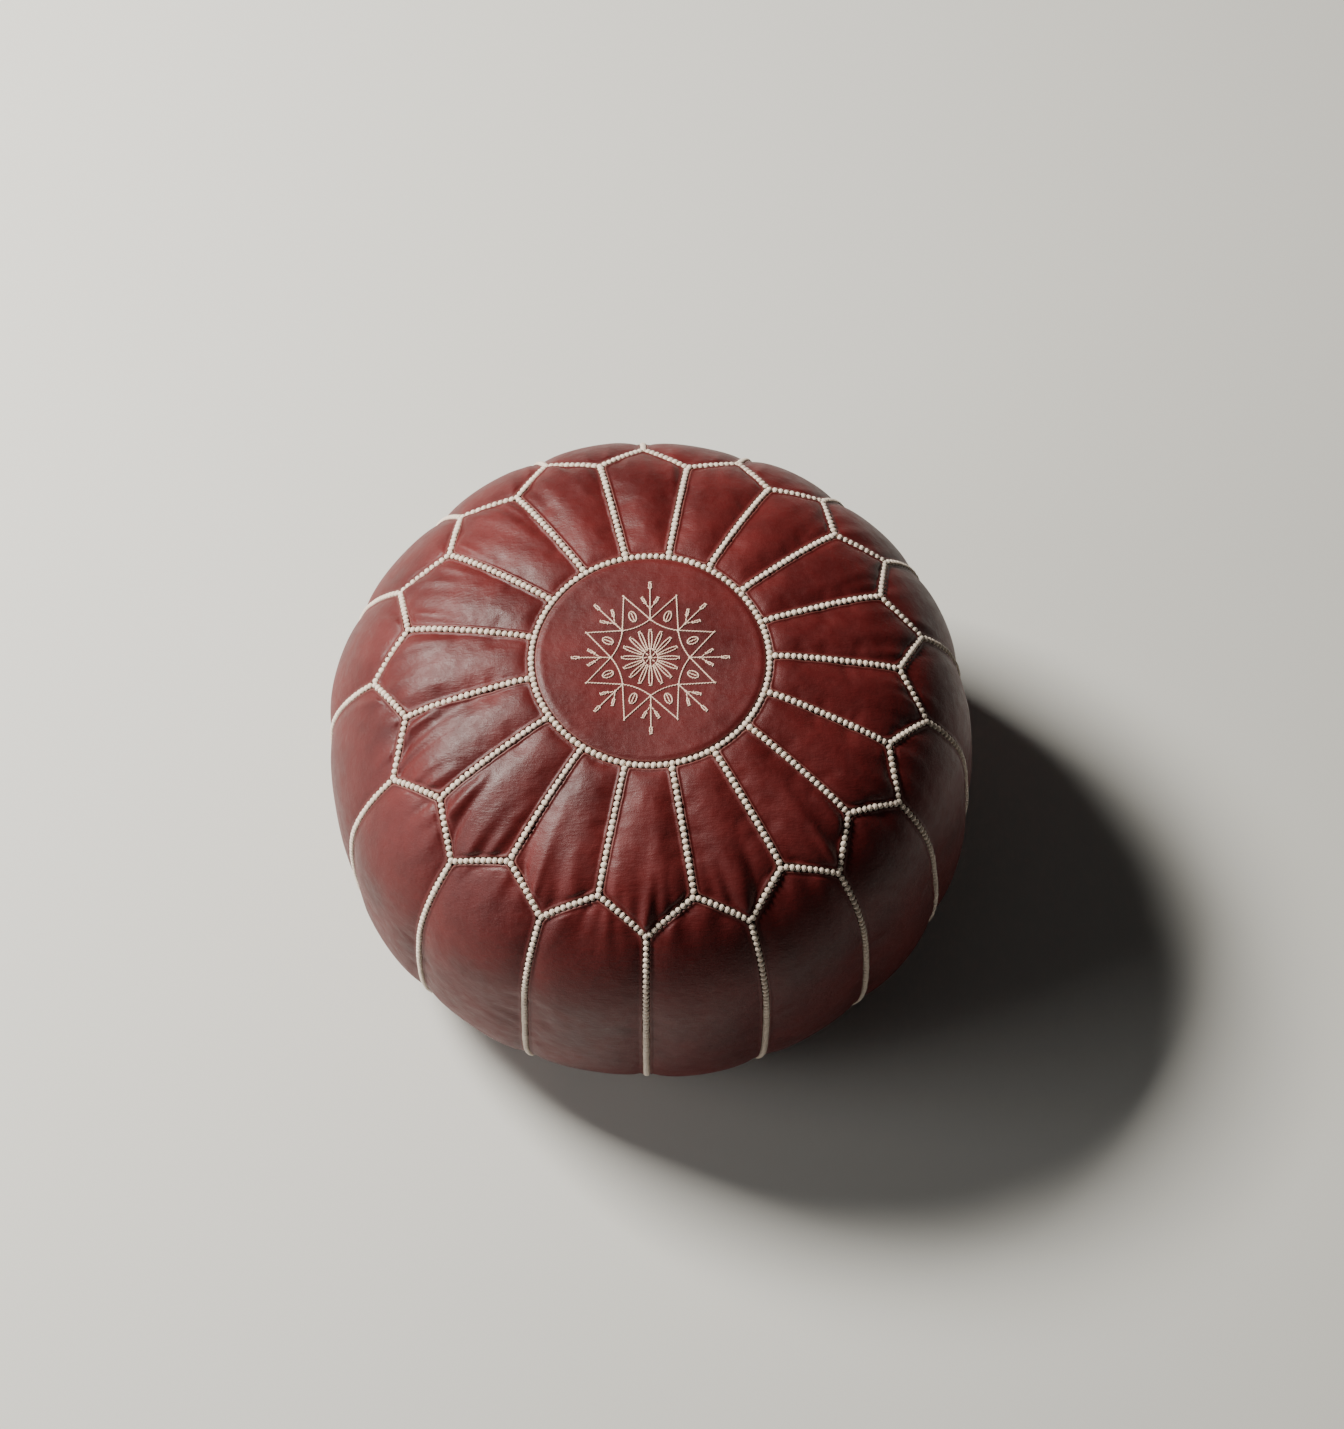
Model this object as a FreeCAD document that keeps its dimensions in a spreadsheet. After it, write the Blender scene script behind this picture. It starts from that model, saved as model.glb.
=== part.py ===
import FreeCAD, Part
import os
import Sketcher
from math import acos, atan2, cos, hypot, radians, sin, sqrt

# A Moroccan leather pouf: a hand-sewn cover of wedge panels over a stuffed cotton bag.
# Frame: millimetres, +Z up, the origin at the middle of the base, on the floor.
# The cover's outline turns about Z. It is a flat for the medallion, five tangent arcs (crown,
# shoulder, side, low side and foot), then a flat that rests on the floor.

SIZES = {
    # outline of the stuffed cover, outside of the leather
    "equator_radius": 275,
    "equator_height": 158,
    "medallion_height": 336.6,
    "crown_centre_drop": 236.3,
    "crown_radius": 580.5,
    "shoulder_radius": 133.7,
    "side_radius": 508,
    "low_side_radius": 500,
    "floor_radius": 150,
    # layers, from the outside in
    "leather": 1.6,
    "bag_inset": 2.5,
    "bag_hollow_inset": 3.3,
    "filling_inset": 3.6,
    "bag_above_floor": 8,
    # where the seams lie, as distances from the axis
    "medallion_seam": 100.5,
    "inner_point": 210,
    "outer_point": 235,
    "base_seam": 178,
    # how the panels are shared out round the axis; hand cutting makes one side's wider
    "panel_count": 17,
    "first_seam": 106,
    "wander": 4.4,
    "wander_lead": 68.8,
    # the thick overcast thread, and the space between the leather edges that holds it
    "thread_radius": 2.2,
    "seam_gap": 2.6,
    # embroidery on the medallion, as distances from the axis
    "stitch_width": 1.8,
    "stitch_height": 1.2,
    "star_across": 0.935,
    "star_along": 1.02,
    "flower_radius": 26,
    "star_valley": 36,
    "star_point": 62,
    "sprig_reach": 71,
    "sprig_fork": 45,
    "sprig_leaf": 13,
    # recess in the base that keeps the zip off the floor
    "recess_length": 292,
    "recess_width": 52,
    "recess_slope": 14,
    "recess_height": 5,
    "slot_width": 13,
    "slot_margin": 6,
    "butt_gap": 0.8,
    "butt_thread_radius": 0.35,
    # zip: two tapes, two rows of teeth, stops, a slider and its pull tab
    "tape_length": 286,
    "tape_width": 13.9,
    "tape_inner_edge": 2.1,
    "tape_thick": 0.6,
    "chain_height": 7,
    "tooth_pitch": 3.2,
    "tooth_thick": 1.3,
    "tooth_reach": 1.2,
    "tooth_root": 3.2,
    "tooth_height": 2.4,
    "tooth_groove": 0.7,
    "chain_start": -136,
    "chain_end": 128.6,
    "slider_back": 122,
    "slider_length": 12,
    "slider_width": 9.8,
    "slider_mouth": 3,
    "plate_thick": 1.2,
    "flange_width": 1,
    "flange_height": 1,
    "post_length": 4,
    "post_width": 2.6,
    "bridge_length": 7,
    "bridge_width": 2,
    "bridge_clearance": 1.8,
    "bridge_thick": 0.9,
    "pin_radius": 0.55,
    "tab_length": 27,
    "tab_width": 7,
    "tab_thick": 1,
    "tab_window_length": 5.2,
    "tab_window_width": 3.4,
    "tab_hole_radius": 1.4,
}

doc = FreeCAD.newDocument("pouf")
sheet = doc.addObject("Spreadsheet::Sheet", "Sizes")
for row, (alias, number) in enumerate(SIZES.items(), start=1):
    sheet.set(f"A{row}", alias)
    sheet.set(f"B{row}", str(number))
    sheet.setAlias(f"B{row}", alias)
doc.recompute()

Z_AXIS = FreeCAD.Vector(0, 0, 1)
ORIGIN = FreeCAD.Vector(0, 0, 0)
BIG = 400  # reach of a cutting tool past the whole pouf
sub_parts = []


def size(alias):
    return float(sheet.get(alias))


def keep(thing, label):
    """Names a finished sub-part; its label is its file's name."""
    thing.Label = label
    sub_parts.append(thing)
    return thing


# ---------------------------------------------------------------- the outline


def outline(inset):
    """Centres, radii and joints of the outline's arcs, moved inwards; points are (radius, height)."""
    crown = size("crown_radius") - inset
    shoulder = size("shoulder_radius") - inset
    side = size("side_radius") - inset
    low_side = size("low_side_radius") - inset
    equator, height = size("equator_radius") - inset, size("equator_height")
    top = size("medallion_height") - inset
    crown_centre = (0.0, -size("crown_centre_drop"))
    side_centre = (equator - side, height)
    # the shoulder's centre is as far from each neighbour's centre as their radii differ
    to_crown, to_side = crown - shoulder, side - shoulder
    across = (side_centre[0] - crown_centre[0], side_centre[1] - crown_centre[1])
    apart = hypot(*across)
    along = (to_crown**2 - to_side**2 + apart**2) / (2 * apart)
    off = sqrt(to_crown**2 - along**2)
    ux, uy = across[0] / apart, across[1] / apart
    shoulder_centre = (crown_centre[0] + along * ux - off * uy, crown_centre[1] + along * uy + off * ux)
    if shoulder_centre[0] < 0:
        shoulder_centre = (crown_centre[0] + along * ux + off * uy, crown_centre[1] + along * uy - off * ux)
    low_centre = (equator - low_side, height)
    flat = size("floor_radius")
    dx, drop = flat - low_centre[0], height - inset
    foot = (low_side**2 - dx**2 - drop**2) / (2 * (low_side - drop))
    foot_centre = (flat, inset + foot)

    def joint(small, big, radius):
        """Where two tangent arcs meet: on the line through their centres, radius from the small arc's."""
        length = hypot(small[0] - big[0], small[1] - big[1])
        return tuple(s + (s - b) / length * radius for s, b in zip(small, big))

    return {
        "centres": [crown_centre, shoulder_centre, side_centre, low_centre, foot_centre],
        "radii": [crown, shoulder, side, low_side, foot],
        "joints": [
            (sqrt(crown**2 - (top - crown_centre[1]) ** 2), top),
            joint(shoulder_centre, crown_centre, shoulder),
            joint(shoulder_centre, side_centre, shoulder),
            (equator, height),
            joint(foot_centre, low_centre, foot),
            (flat, inset),
        ],
    }


COVER = outline(0)


def cover_height(radius):
    """Height of the cover's upper half over the floor, at a distance from the axis."""
    joints, centres, radii = COVER["joints"], COVER["centres"], COVER["radii"]
    if radius < joints[0][0]:
        return joints[0][1]
    arc = next(i for i in range(3) if radius <= joints[i + 1][0] + 1e-9)
    return centres[arc][1] + sqrt(radii[arc] ** 2 - (radius - centres[arc][0]) ** 2)


def foot_height(radius):
    """Height of the cover's foot over the floor, at a distance from the axis."""
    centre, foot = COVER["centres"][4], COVER["radii"][4]
    return centre[1] - sqrt(foot**2 - (radius - centre[0]) ** 2)


def seam_angle(turns):
    """Direction of a seam, in degrees, counted in panels clockwise from the first one."""
    even = size("first_seam") - 360 * turns / size("panel_count")
    return even + size("wander") * cos(radians(even + size("wander_lead")))


def outline_sketch(name, inset):
    """A closed sketch of the half outline in the XZ plane, moved inwards by the sizes named in inset."""
    sketch = doc.addObject("Sketcher::SketchObject", name)
    sketch.Placement = FreeCAD.Placement(ORIGIN, FreeCAD.Rotation(FreeCAD.Vector(1, 0, 0), 90))
    shape = outline(size(inset) if inset else 0.0)
    flat = [FreeCAD.Vector(x, y, 0) for x, y in shape["joints"]]
    arcs = []
    for centre, radius, high, low in zip(shape["centres"], shape["radii"], flat, flat[1:]):
        circle = Part.Circle(FreeCAD.Vector(*centre, 0), Z_AXIS, radius)
        begin = atan2(low.y - centre[1], low.x - centre[0])
        end = atan2(high.y - centre[1], high.x - centre[0])
        arcs.append(sketch.addGeometry(Part.ArcOfCircle(circle, begin, end), False))
    crown, shoulder, side, low_side, foot = arcs
    floor = sketch.addGeometry(Part.LineSegment(flat[5], FreeCAD.Vector(0, flat[5].y, 0)), False)
    axis = sketch.addGeometry(
        Part.LineSegment(FreeCAD.Vector(0, flat[5].y, 0), FreeCAD.Vector(0, flat[0].y, 0)), False
    )
    medallion = sketch.addGeometry(Part.LineSegment(FreeCAD.Vector(0, flat[0].y, 0), flat[0]), False)
    by = f" - Sizes.{inset}" if inset else ""

    def bind(constraint, expression):
        sketch.setExpression(f"Constraints[{sketch.addConstraint(constraint)}]", expression)

    rule = Sketcher.Constraint
    start, end, middle = 1, 2, 3  # an arc runs anticlockwise, so it starts at its lower end
    root = -1
    for above, below in ((crown, shoulder), (shoulder, side), (low_side, foot)):
        sketch.addConstraint(rule("Tangent", above, start, below, end))
    sketch.addConstraint(rule("Coincident", side, start, low_side, end))
    sketch.addConstraint(rule("Coincident", foot, start, floor, start))
    sketch.addConstraint(rule("Coincident", floor, end, axis, start))
    sketch.addConstraint(rule("Coincident", axis, end, medallion, start))
    sketch.addConstraint(rule("Coincident", medallion, end, crown, end))
    sketch.addConstraint(rule("Horizontal", floor))
    sketch.addConstraint(rule("Horizontal", medallion))
    sketch.addConstraint(rule("PointOnObject", floor, end, -2))
    sketch.addConstraint(rule("PointOnObject", medallion, start, -2))
    sketch.addConstraint(rule("PointOnObject", crown, middle, -2))
    sketch.addConstraint(rule("Vertical", foot, middle, foot, start))
    for arc, alias in ((crown, "crown"), (shoulder, "shoulder"), (side, "side"), (low_side, "low_side")):
        bind(rule("Radius", arc, size(f"{alias}_radius")), f"Sizes.{alias}_radius{by}")
    bind(rule("DistanceY", root, start, side, middle, size("equator_height")), "Sizes.equator_height")
    bind(rule("DistanceY", root, start, low_side, middle, size("equator_height")), "Sizes.equator_height")
    bind(rule("DistanceY", root, start, side, start, size("equator_height")), "Sizes.equator_height")
    bind(rule("DistanceX", root, start, side, start, flat[3].x), f"Sizes.equator_radius{by}")
    bind(rule("DistanceY", root, start, crown, end, flat[0].y), f"Sizes.medallion_height{by}")
    bind(rule("DistanceY", crown, middle, root, start, size("crown_centre_drop")), "Sizes.crown_centre_drop")
    bind(rule("DistanceX", root, start, foot, start, flat[5].x), "Sizes.floor_radius")
    if inset:
        bind(rule("DistanceY", root, start, foot, start, flat[5].y), f"Sizes.{inset}")
    else:
        sketch.addConstraint(rule("PointOnObject", foot, start, -1))
    return sketch


def turned(name, inset):
    """The solid inside the outline, moved inwards by inset."""
    solid = doc.addObject("Part::Revolution", name)
    solid.Source = outline_sketch(f"{name}_outline", inset)
    solid.Axis = Z_AXIS
    solid.Angle = 360
    solid.Solid = True
    return solid


def block(name, **edges):
    """A Part::Box placed by six expressions: x, y, z of its low corner, and dx, dy, dz."""
    box = doc.addObject("Part::Box", name)
    for key, prop in (("dx", "Length"), ("dy", "Width"), ("dz", "Height")):
        box.setExpression(prop, edges[key])
    for key in "xyz":
        box.setExpression(f"Placement.Base.{key}", edges[key])
    return box


def drum(name, radius, low, high):
    """A Part::Cylinder about Z, from low to high."""
    cylinder = doc.addObject("Part::Cylinder", name)
    cylinder.setExpression("Radius", radius)
    cylinder.setExpression("Height", f"({high}) - ({low})")
    cylinder.setExpression("Placement.Base.z", low)
    return cylinder


def combine(kind, name, first, second):
    """Part::Cut or Part::Common of two objects."""
    result = doc.addObject(f"Part::{kind}", name)
    result.Base, result.Tool = first, second
    return result


def fuse(name, pieces):
    result = doc.addObject("Part::MultiFuse", name)
    result.Shapes = pieces
    result.Refine = True
    return result


def plain(name, shape):
    """A Part::Feature with its shape worked out here."""
    feature = doc.addObject("Part::Feature", name)
    feature.Shape = shape
    return feature


def polar(radius, angle, height=0.0):
    return FreeCAD.Vector(radius * cos(radians(angle)), radius * sin(radians(angle)), height)


# ------------------------------------------------------- filling, bag and leather

cover_outside = turned("cover_outside", "")
cover_inside = turned("cover_inside", "leather")
cover_shell = combine("Cut", "cover_shell", cover_outside, cover_inside)


def stuffed(name, inset):
    """A turned solid inset from the cover, with a channel under it that leaves room for the zip."""
    channel = block(
        f"{name}_channel",
        x=f"-Sizes.recess_length / 2 - Sizes.{inset}",
        y=f"-Sizes.recess_width / 2 - Sizes.{inset}",
        z="-1",
        dx=f"Sizes.recess_length + 2 * Sizes.{inset}",
        dy=f"Sizes.recess_width + 2 * Sizes.{inset}",
        dz=f"1 + Sizes.bag_above_floor + Sizes.{inset}",
    )
    return combine("Cut", name, turned(f"{name}_round", inset), channel)


bag_inside = stuffed("bag_inside", "bag_hollow_inset")
keep(combine("Cut", "bag", stuffed("bag_outside", "bag_inset"), bag_inside), "inner_bag")
keep(stuffed("filling", "filling_inset"), "filling")

medallion_tool = drum(
    "medallion_tool",
    "Sizes.medallion_seam - Sizes.seam_gap",
    "Sizes.equator_height",
    "Sizes.medallion_height + 1",
)
keep(combine("Common", "medallion", cover_shell, medallion_tool), "top_medallion")


# ------------------------------------------------------------ petals and side panels


def prism(name, corners, low, high, inset):
    """An upright prism over a plan-view polygon whose every edge is moved inwards by inset."""
    face = Part.Face(Part.makePolygon([*corners, corners[0]]))
    if inset:
        face = face.makeOffset2D(-inset, 2, False, False, False)  # 2: corners stay sharp
    solid = face.extrude(FreeCAD.Vector(0, 0, high - low))
    solid.translate(FreeCAD.Vector(0, 0, low))
    return plain(name, solid)


panels = int(size("panel_count"))
gap = size("seam_gap")
ring, inner, outer = size("medallion_seam"), size("inner_point"), size("outer_point")
equator, top = size("equator_height"), size("medallion_height")

ring_clear = drum(
    "ring_clear",
    "Sizes.medallion_seam + Sizes.seam_gap",
    "Sizes.equator_height",
    "Sizes.medallion_height + 1",
)
petal_stock = combine("Cut", "petal_stock", cover_shell, ring_clear)

crown_points = []
for i in range(panels):
    crown_points += [polar(inner, seam_angle(i)), polar(outer, seam_angle(i + 0.5))]
crown_tool = prism("crown_tool", crown_points, equator, top + 1, -gap)
base_tool = drum("base_tool", "Sizes.base_seam + Sizes.seam_gap", "-1", "Sizes.equator_height")
side_stock = combine("Cut", "side_stock_upper", cover_shell, crown_tool)
side_stock = combine("Cut", "side_stock", side_stock, base_tool)

for i in range(panels):
    left, right, middle = seam_angle(i), seam_angle(i + 1), seam_angle(i + 0.5)
    petal = [
        ORIGIN,
        polar(inner, left),
        polar(outer, middle),
        polar(inner, right),
    ]
    tool = prism(f"petal_tool_{i + 1:02d}", petal, equator, top + 1, gap)
    keep(combine("Common", f"petal_{i + 1:02d}", petal_stock, tool), f"top_petal_{i + 1:02d}")

    left, right = seam_angle(i - 0.5), seam_angle(i + 0.5)
    wedge = [ORIGIN, polar(BIG, left), polar(BIG, right)]
    tool = prism(f"side_tool_{i + 1:02d}", wedge, -1, top + 1, gap)
    keep(combine("Common", f"side_{i + 1:02d}", side_stock, tool), f"side_panel_{i + 1:02d}")


# ------------------------------------------------------------------- base panels

doc.recompute()
base_disc = combine(
    "Common",
    "base_disc",
    cover_shell,
    drum("base_disc_tool", "Sizes.base_seam - Sizes.seam_gap", "-1", "Sizes.equator_height"),
)
recess_opening = block(
    "recess_opening",
    x="-Sizes.recess_length / 2",
    y="-Sizes.recess_width / 2",
    z="-1",
    dx="Sizes.recess_length",
    dy="Sizes.recess_width",
    dz="1 + Sizes.recess_height",
)
base_open = combine("Cut", "base_open", base_disc, recess_opening)


def recess_strip():
    """The leather along one side of the zip: up a slope from the floor, then level to the slot."""
    body = doc.addObject("PartDesign::Body", "recess_strip")
    sketch = body.newObject("Sketcher::SketchObject", "recess_section")
    side = next(f for f in body.Origin.OriginFeatures if f.Role == "YZ_Plane")
    sketch.AttachmentSupport = [(side, "")]
    sketch.MapMode = "FlatFace"
    thick, rise = size("leather"), size("recess_height")
    far, near = size("recess_width") / 2, size("slot_width") / 2
    brow = far - size("recess_slope")
    points = [(far, 0), (brow, rise), (near, rise), (near, rise + thick), (brow, rise + thick), (far, thick)]
    ends = [FreeCAD.Vector(*p, 0) for p in points]
    for a, b in zip(ends, ends[1:] + ends[:1]):
        sketch.addGeometry(Part.LineSegment(a, b), False)
    count = len(points)
    for i in range(count):
        sketch.addConstraint(Sketcher.Constraint("Coincident", i, 2, (i + 1) % count, 1))
    across = ["recess_width / 2", "recess_width / 2 - Sizes.recess_slope", "slot_width / 2"]
    across += across[::-1]
    up = ["", "recess_height", "recess_height", "recess_height + Sizes.leather"]
    up += ["recess_height + Sizes.leather", "leather"]
    for i, point in enumerate(points):
        c = sketch.addConstraint(Sketcher.Constraint("DistanceX", -1, 1, i, 1, point[0]))
        sketch.setExpression(f"Constraints[{c}]", f"Sizes.{across[i]}")
        if up[i]:
            c = sketch.addConstraint(Sketcher.Constraint("DistanceY", -1, 1, i, 1, point[1]))
            sketch.setExpression(f"Constraints[{c}]", f"Sizes.{up[i]}")
        else:
            sketch.addConstraint(Sketcher.Constraint("PointOnObject", i, 1, -1))
    pad = body.newObject("PartDesign::Pad", "recess_pad")
    pad.Profile = sketch
    pad.setExpression("Length", "Sizes.recess_length")
    pad.Midplane = True
    return body


strip = recess_strip()
end_walls = [
    block(
        f"recess_end_{side}",
        x=x,
        y="Sizes.butt_gap / 2",
        z="0",
        dx="Sizes.leather",
        dy="(Sizes.recess_width - Sizes.butt_gap) / 2",
        dz="Sizes.recess_height + Sizes.leather",
    )
    for side, x in (
        ("left", "-Sizes.recess_length / 2"),
        ("right", "Sizes.recess_length / 2 - Sizes.leather"),
    )
]
end_lands = [
    block(
        f"recess_land_{side}",
        x=x,
        y="Sizes.butt_gap / 2",
        z="Sizes.recess_height",
        dx="Sizes.slot_margin / 2",
        dy="Sizes.slot_width / 2",
        dz="Sizes.leather",
    )
    for side, x in (
        ("left", "-Sizes.recess_length / 2"),
        ("right", "(Sizes.recess_length - Sizes.slot_margin) / 2"),
    )
]
back_half = block(
    "back_half",
    x="-Sizes.equator_radius",
    y="Sizes.butt_gap / 2",
    z="-1",
    dx="2 * Sizes.equator_radius",
    dy="Sizes.equator_radius",
    dz="Sizes.equator_height",
)
base_back_skin = combine("Common", "base_back_skin", base_open, back_half)
keep(fuse("base_back", [base_back_skin, strip, *end_walls, *end_lands]), "base_panel_back")
doc.recompute()
base_front = plain("base_front", doc.getObject("base_back").Shape.rotated(ORIGIN, Z_AXIS, 180))
keep(base_front, "base_panel_front")


# ------------------------------------------------------------------ seam thread


def thread(edges, radius):
    """A round thread along edges that join end to end."""
    first = edges[0]
    at, along = first.valueAt(first.FirstParameter), first.tangentAt(first.FirstParameter)
    section = Part.Wire(Part.makeCircle(radius, at, along))
    return Part.Wire(edges).makePipeShell([section], True, True)


def arc_edge(centre, radius, begin, end, angle):
    """Part of the outline, from angle begin to end in its own plane, turned to a direction about Z."""
    points = []
    for q in (begin, (begin + end) / 2, end):
        points.append(polar(centre[0] + radius * cos(q), angle, centre[1] + radius * sin(q)))
    return Part.Arc(*points).toShape()


def outline_run(first_radius, last_radius, last_arc, angle):
    """Edges down the cover from one distance from the axis, on its upper half, to another on arc last_arc."""
    edges = []
    begin = None
    for arc in range(5):
        centre, radius = COVER["centres"][arc], COVER["radii"][arc]
        high, low = COVER["joints"][arc], COVER["joints"][arc + 1]
        if begin is None and (arc > 2 or first_radius > low[0] + 1e-9):
            continue
        if begin is None:
            begin = acos((first_radius - centre[0]) / radius)
        else:
            begin = atan2(high[1] - centre[1], high[0] - centre[0])
        if arc == last_arc:
            end = acos((last_radius - centre[0]) / radius) * (1 if arc < 3 else -1)
        else:
            end = atan2(low[1] - centre[1], low[0] - centre[0])
        edges.append(arc_edge(centre, radius, begin, end, angle))
        if arc == last_arc:
            return edges
    return edges


thread_radius = size("thread_radius")
clear = thread_radius + 0.2  # a thread stops this far from the one that it meets


def torus(name, radius, height):
    ring_thread = doc.addObject("Part::Torus", name)
    ring_thread.setExpression("Radius1", radius)
    ring_thread.setExpression("Radius2", "Sizes.thread_radius")
    ring_thread.Placement.Base.z = height
    return ring_thread


keep(torus("medallion_ring", "Sizes.medallion_seam", cover_height(ring)), "medallion_ring_stitching")
keep(
    torus("base_ring", "Sizes.base_seam", foot_height(size("base_seam"))), "base_ring_stitching"
)

butt_threads = []
for side in (0, 180):
    middle = size("leather") / 2
    near, far = size("recess_length") / 2 + 1, size("base_seam") - size("seam_gap") - 0.5
    low, high = foot_height(max(near, size("floor_radius"))) + middle, foot_height(far) + middle
    edge = Part.LineSegment(polar(near, side, low), polar(far, side, high)).toShape()
    butt_threads.append(thread([edge], size("butt_thread_radius")))
keep(plain("butt_threads", Part.makeCompound(butt_threads)), "base_seam_stitching")

petal_arc = 1 if inner - clear > COVER["joints"][1][0] else 0
petal_threads = [
    thread(outline_run(ring + clear, inner - clear, petal_arc, seam_angle(i)), thread_radius)
    for i in range(panels)
]
keep(plain("petal_threads", Part.makeCompound(petal_threads)), "petal_seam_stitching")

side_threads = [
    thread(
        outline_run(outer + clear, size("base_seam") + clear, 4, seam_angle(i + 0.5)), thread_radius
    )
    for i in range(panels)
]
keep(plain("side_threads", Part.makeCompound(side_threads)), "side_seam_stitching")


def on_cover(spot):
    return FreeCAD.Vector(spot.x, spot.y, cover_height(hypot(spot.x, spot.y)))


zigzag = []
for a, b in zip(crown_points, crown_points[1:] + crown_points[:1]):
    edge = Part.Arc(on_cover(a), on_cover((a + b) / 2), on_cover(b)).toShape()
    zigzag += [thread([edge], thread_radius), Part.makeSphere(thread_radius, on_cover(a))]
keep(plain("zigzag_thread", zigzag[0].multiFuse(zigzag[1:])), "zigzag_stitching")


# ------------------------------------------------------------------- embroidery


def stitch(start, end):
    """A straight stitch on the medallion, with square ends half its width past each point."""
    half = size("stitch_width") / 2
    start, end = (FreeCAD.Vector(p.x * star_across, p.y * star_along, top) for p in (start, end))
    along = (end - start).normalize() * half
    across = FreeCAD.Vector(-along.y, along.x, 0)
    a, b = start - along, end + along
    corners = [a - across, b - across, b + across, a + across, a - across]
    return Part.Face(Part.makePolygon(corners)).extrude(FreeCAD.Vector(0, 0, size("stitch_height")))


star_across, star_along = size("star_across"), size("star_along")
slabs = []
points_round = 8
for i in range(points_round):
    facing = 360 / points_round * i
    tip = polar(size("star_point"), facing + 180 / points_round)
    valley = polar(size("star_valley"), facing)
    following = polar(size("star_valley"), facing + 360 / points_round)
    fork = polar(size("sprig_fork"), facing)
    slabs += [stitch(valley, tip), stitch(tip, following), stitch(following, valley)]
    slabs.append(stitch(valley, polar(size("sprig_reach"), facing)))
    for turn in (-35, 35):
        slabs.append(stitch(fork, fork + polar(size("sprig_leaf"), facing + turn)))
    for turn in (0, 180 / points_round):
        slabs.append(stitch(ORIGIN, polar(size("flower_radius"), facing + turn)))
drawing = slabs[0].multiFuse(slabs[1:]).removeSplitter()
keep(plain("embroidery", drawing), "medallion_embroidery")


# --------------------------------------------------------------------- the zip


def tape(name, y):
    return block(
        name,
        x="-Sizes.tape_length / 2",
        y=y,
        z="Sizes.chain_height - Sizes.tape_thick / 2",
        dx="Sizes.tape_length",
        dy="Sizes.tape_width",
        dz="Sizes.tape_thick",
    )


keep(tape("tape_back", "Sizes.tape_inner_edge"), "zip_tape_back")
keep(tape("tape_front", "-Sizes.tape_inner_edge - Sizes.tape_width"), "zip_tape_front")


def tooth():
    """One moulded tooth of the back row, at x 0: a block with a groove that grips the tape."""
    thick, height = size("tooth_thick"), size("tooth_height")
    reach, root, groove = size("tooth_reach"), size("tooth_root"), size("tooth_groove")
    middle = size("chain_height")
    solid = Part.makeBox(thick, reach + root, height, FreeCAD.Vector(-thick / 2, -reach, middle - height / 2))
    edge = size("tape_inner_edge") - 0.1
    slot = Part.makeBox(thick, root, groove, FreeCAD.Vector(-thick / 2, edge, middle - groove / 2))
    return solid.cut(slot)


pitch = size("tooth_pitch")
back_tooth = tooth()
front_tooth = back_tooth.rotated(ORIGIN, Z_AXIS, 180)
rows = {"back": (back_tooth, 0.0), "front": (front_tooth, pitch / 2)}
for side, (shape, lag) in rows.items():
    count = int((size("chain_end") - size("chain_start") - lag) / pitch) + 1
    places = [size("chain_start") + lag + i * pitch for i in range(count)]
    row = [shape.translated(FreeCAD.Vector(x, 0, 0)) for x in places]
    keep(plain(f"teeth_{side}", Part.makeCompound(row)), f"zip_teeth_{side}")


tape_grooves = fuse(
    "tape_grooves",
    [
        block(
            f"tape_groove_{side}",
            x="-Sizes.tape_length / 2",
            y=y,
            z="Sizes.chain_height - Sizes.tooth_groove / 2",
            dx="Sizes.tape_length",
            dy="Sizes.tape_width",
            dz="Sizes.tooth_groove",
        )
        for side, y in (
            ("back", "Sizes.tape_inner_edge"),
            ("front", "-Sizes.tape_width - Sizes.tape_inner_edge"),
        )
    ],
)


def stop(name, x, y, dx, dy):
    """A stop clamped on the tapes, as high as a tooth, with a groove for each tape it meets."""
    metal = block(
        f"{name}_metal",
        x=x,
        y=y,
        z="Sizes.chain_height - Sizes.tooth_height / 2",
        dx=dx,
        dy=dy,
        dz="Sizes.tooth_height",
    )
    return combine("Cut", name, metal, tape_grooves)


top_stops = doc.addObject("Part::Compound", "top_stops")
top_stops.Links = [
    stop(f"top_stop_{side}", "Sizes.slider_back + Sizes.slider_length + 1", y, "3", "2.2")
    for side, y in (
        ("back", "Sizes.tape_inner_edge - 0.7"),
        ("front", "-Sizes.tape_inner_edge - 1.5"),
    )
]
keep(top_stops, "zip_top_stops")
keep(stop("end_stop", "Sizes.chain_start - 4.5", "-3.2", "3", "6.4"), "zip_end_stop")

plate = {"x": "Sizes.slider_back", "dx": "Sizes.slider_length"}
wide = {"y": "-Sizes.slider_width / 2", "dy": "Sizes.slider_width"}
mouth_low = "Sizes.chain_height - Sizes.slider_mouth / 2"
mouth_high = "Sizes.chain_height + Sizes.slider_mouth / 2"
bridge_low = f"{mouth_low} - Sizes.plate_thick - Sizes.bridge_clearance"
plate_low = f"{mouth_low} - Sizes.plate_thick"
slider_pieces = [
    block("slider_outer_plate", **plate, **wide, z=plate_low, dz="Sizes.plate_thick"),
    block("slider_inner_plate", **plate, **wide, z=mouth_high, dz="Sizes.plate_thick"),
    block(
        "slider_post",
        x="Sizes.slider_back + Sizes.slider_length - Sizes.post_length",
        y="-Sizes.post_width / 2",
        z=mouth_low,
        dx="Sizes.post_length",
        dy="Sizes.post_width",
        dz="Sizes.slider_mouth",
    ),
    block(
        "slider_bridge",
        x="Sizes.slider_back + 2.5",
        y="-Sizes.bridge_width / 2",
        z=f"{bridge_low} - Sizes.bridge_thick",
        dx="Sizes.bridge_length",
        dy="Sizes.bridge_width",
        dz="Sizes.bridge_thick",
    ),
]
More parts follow.
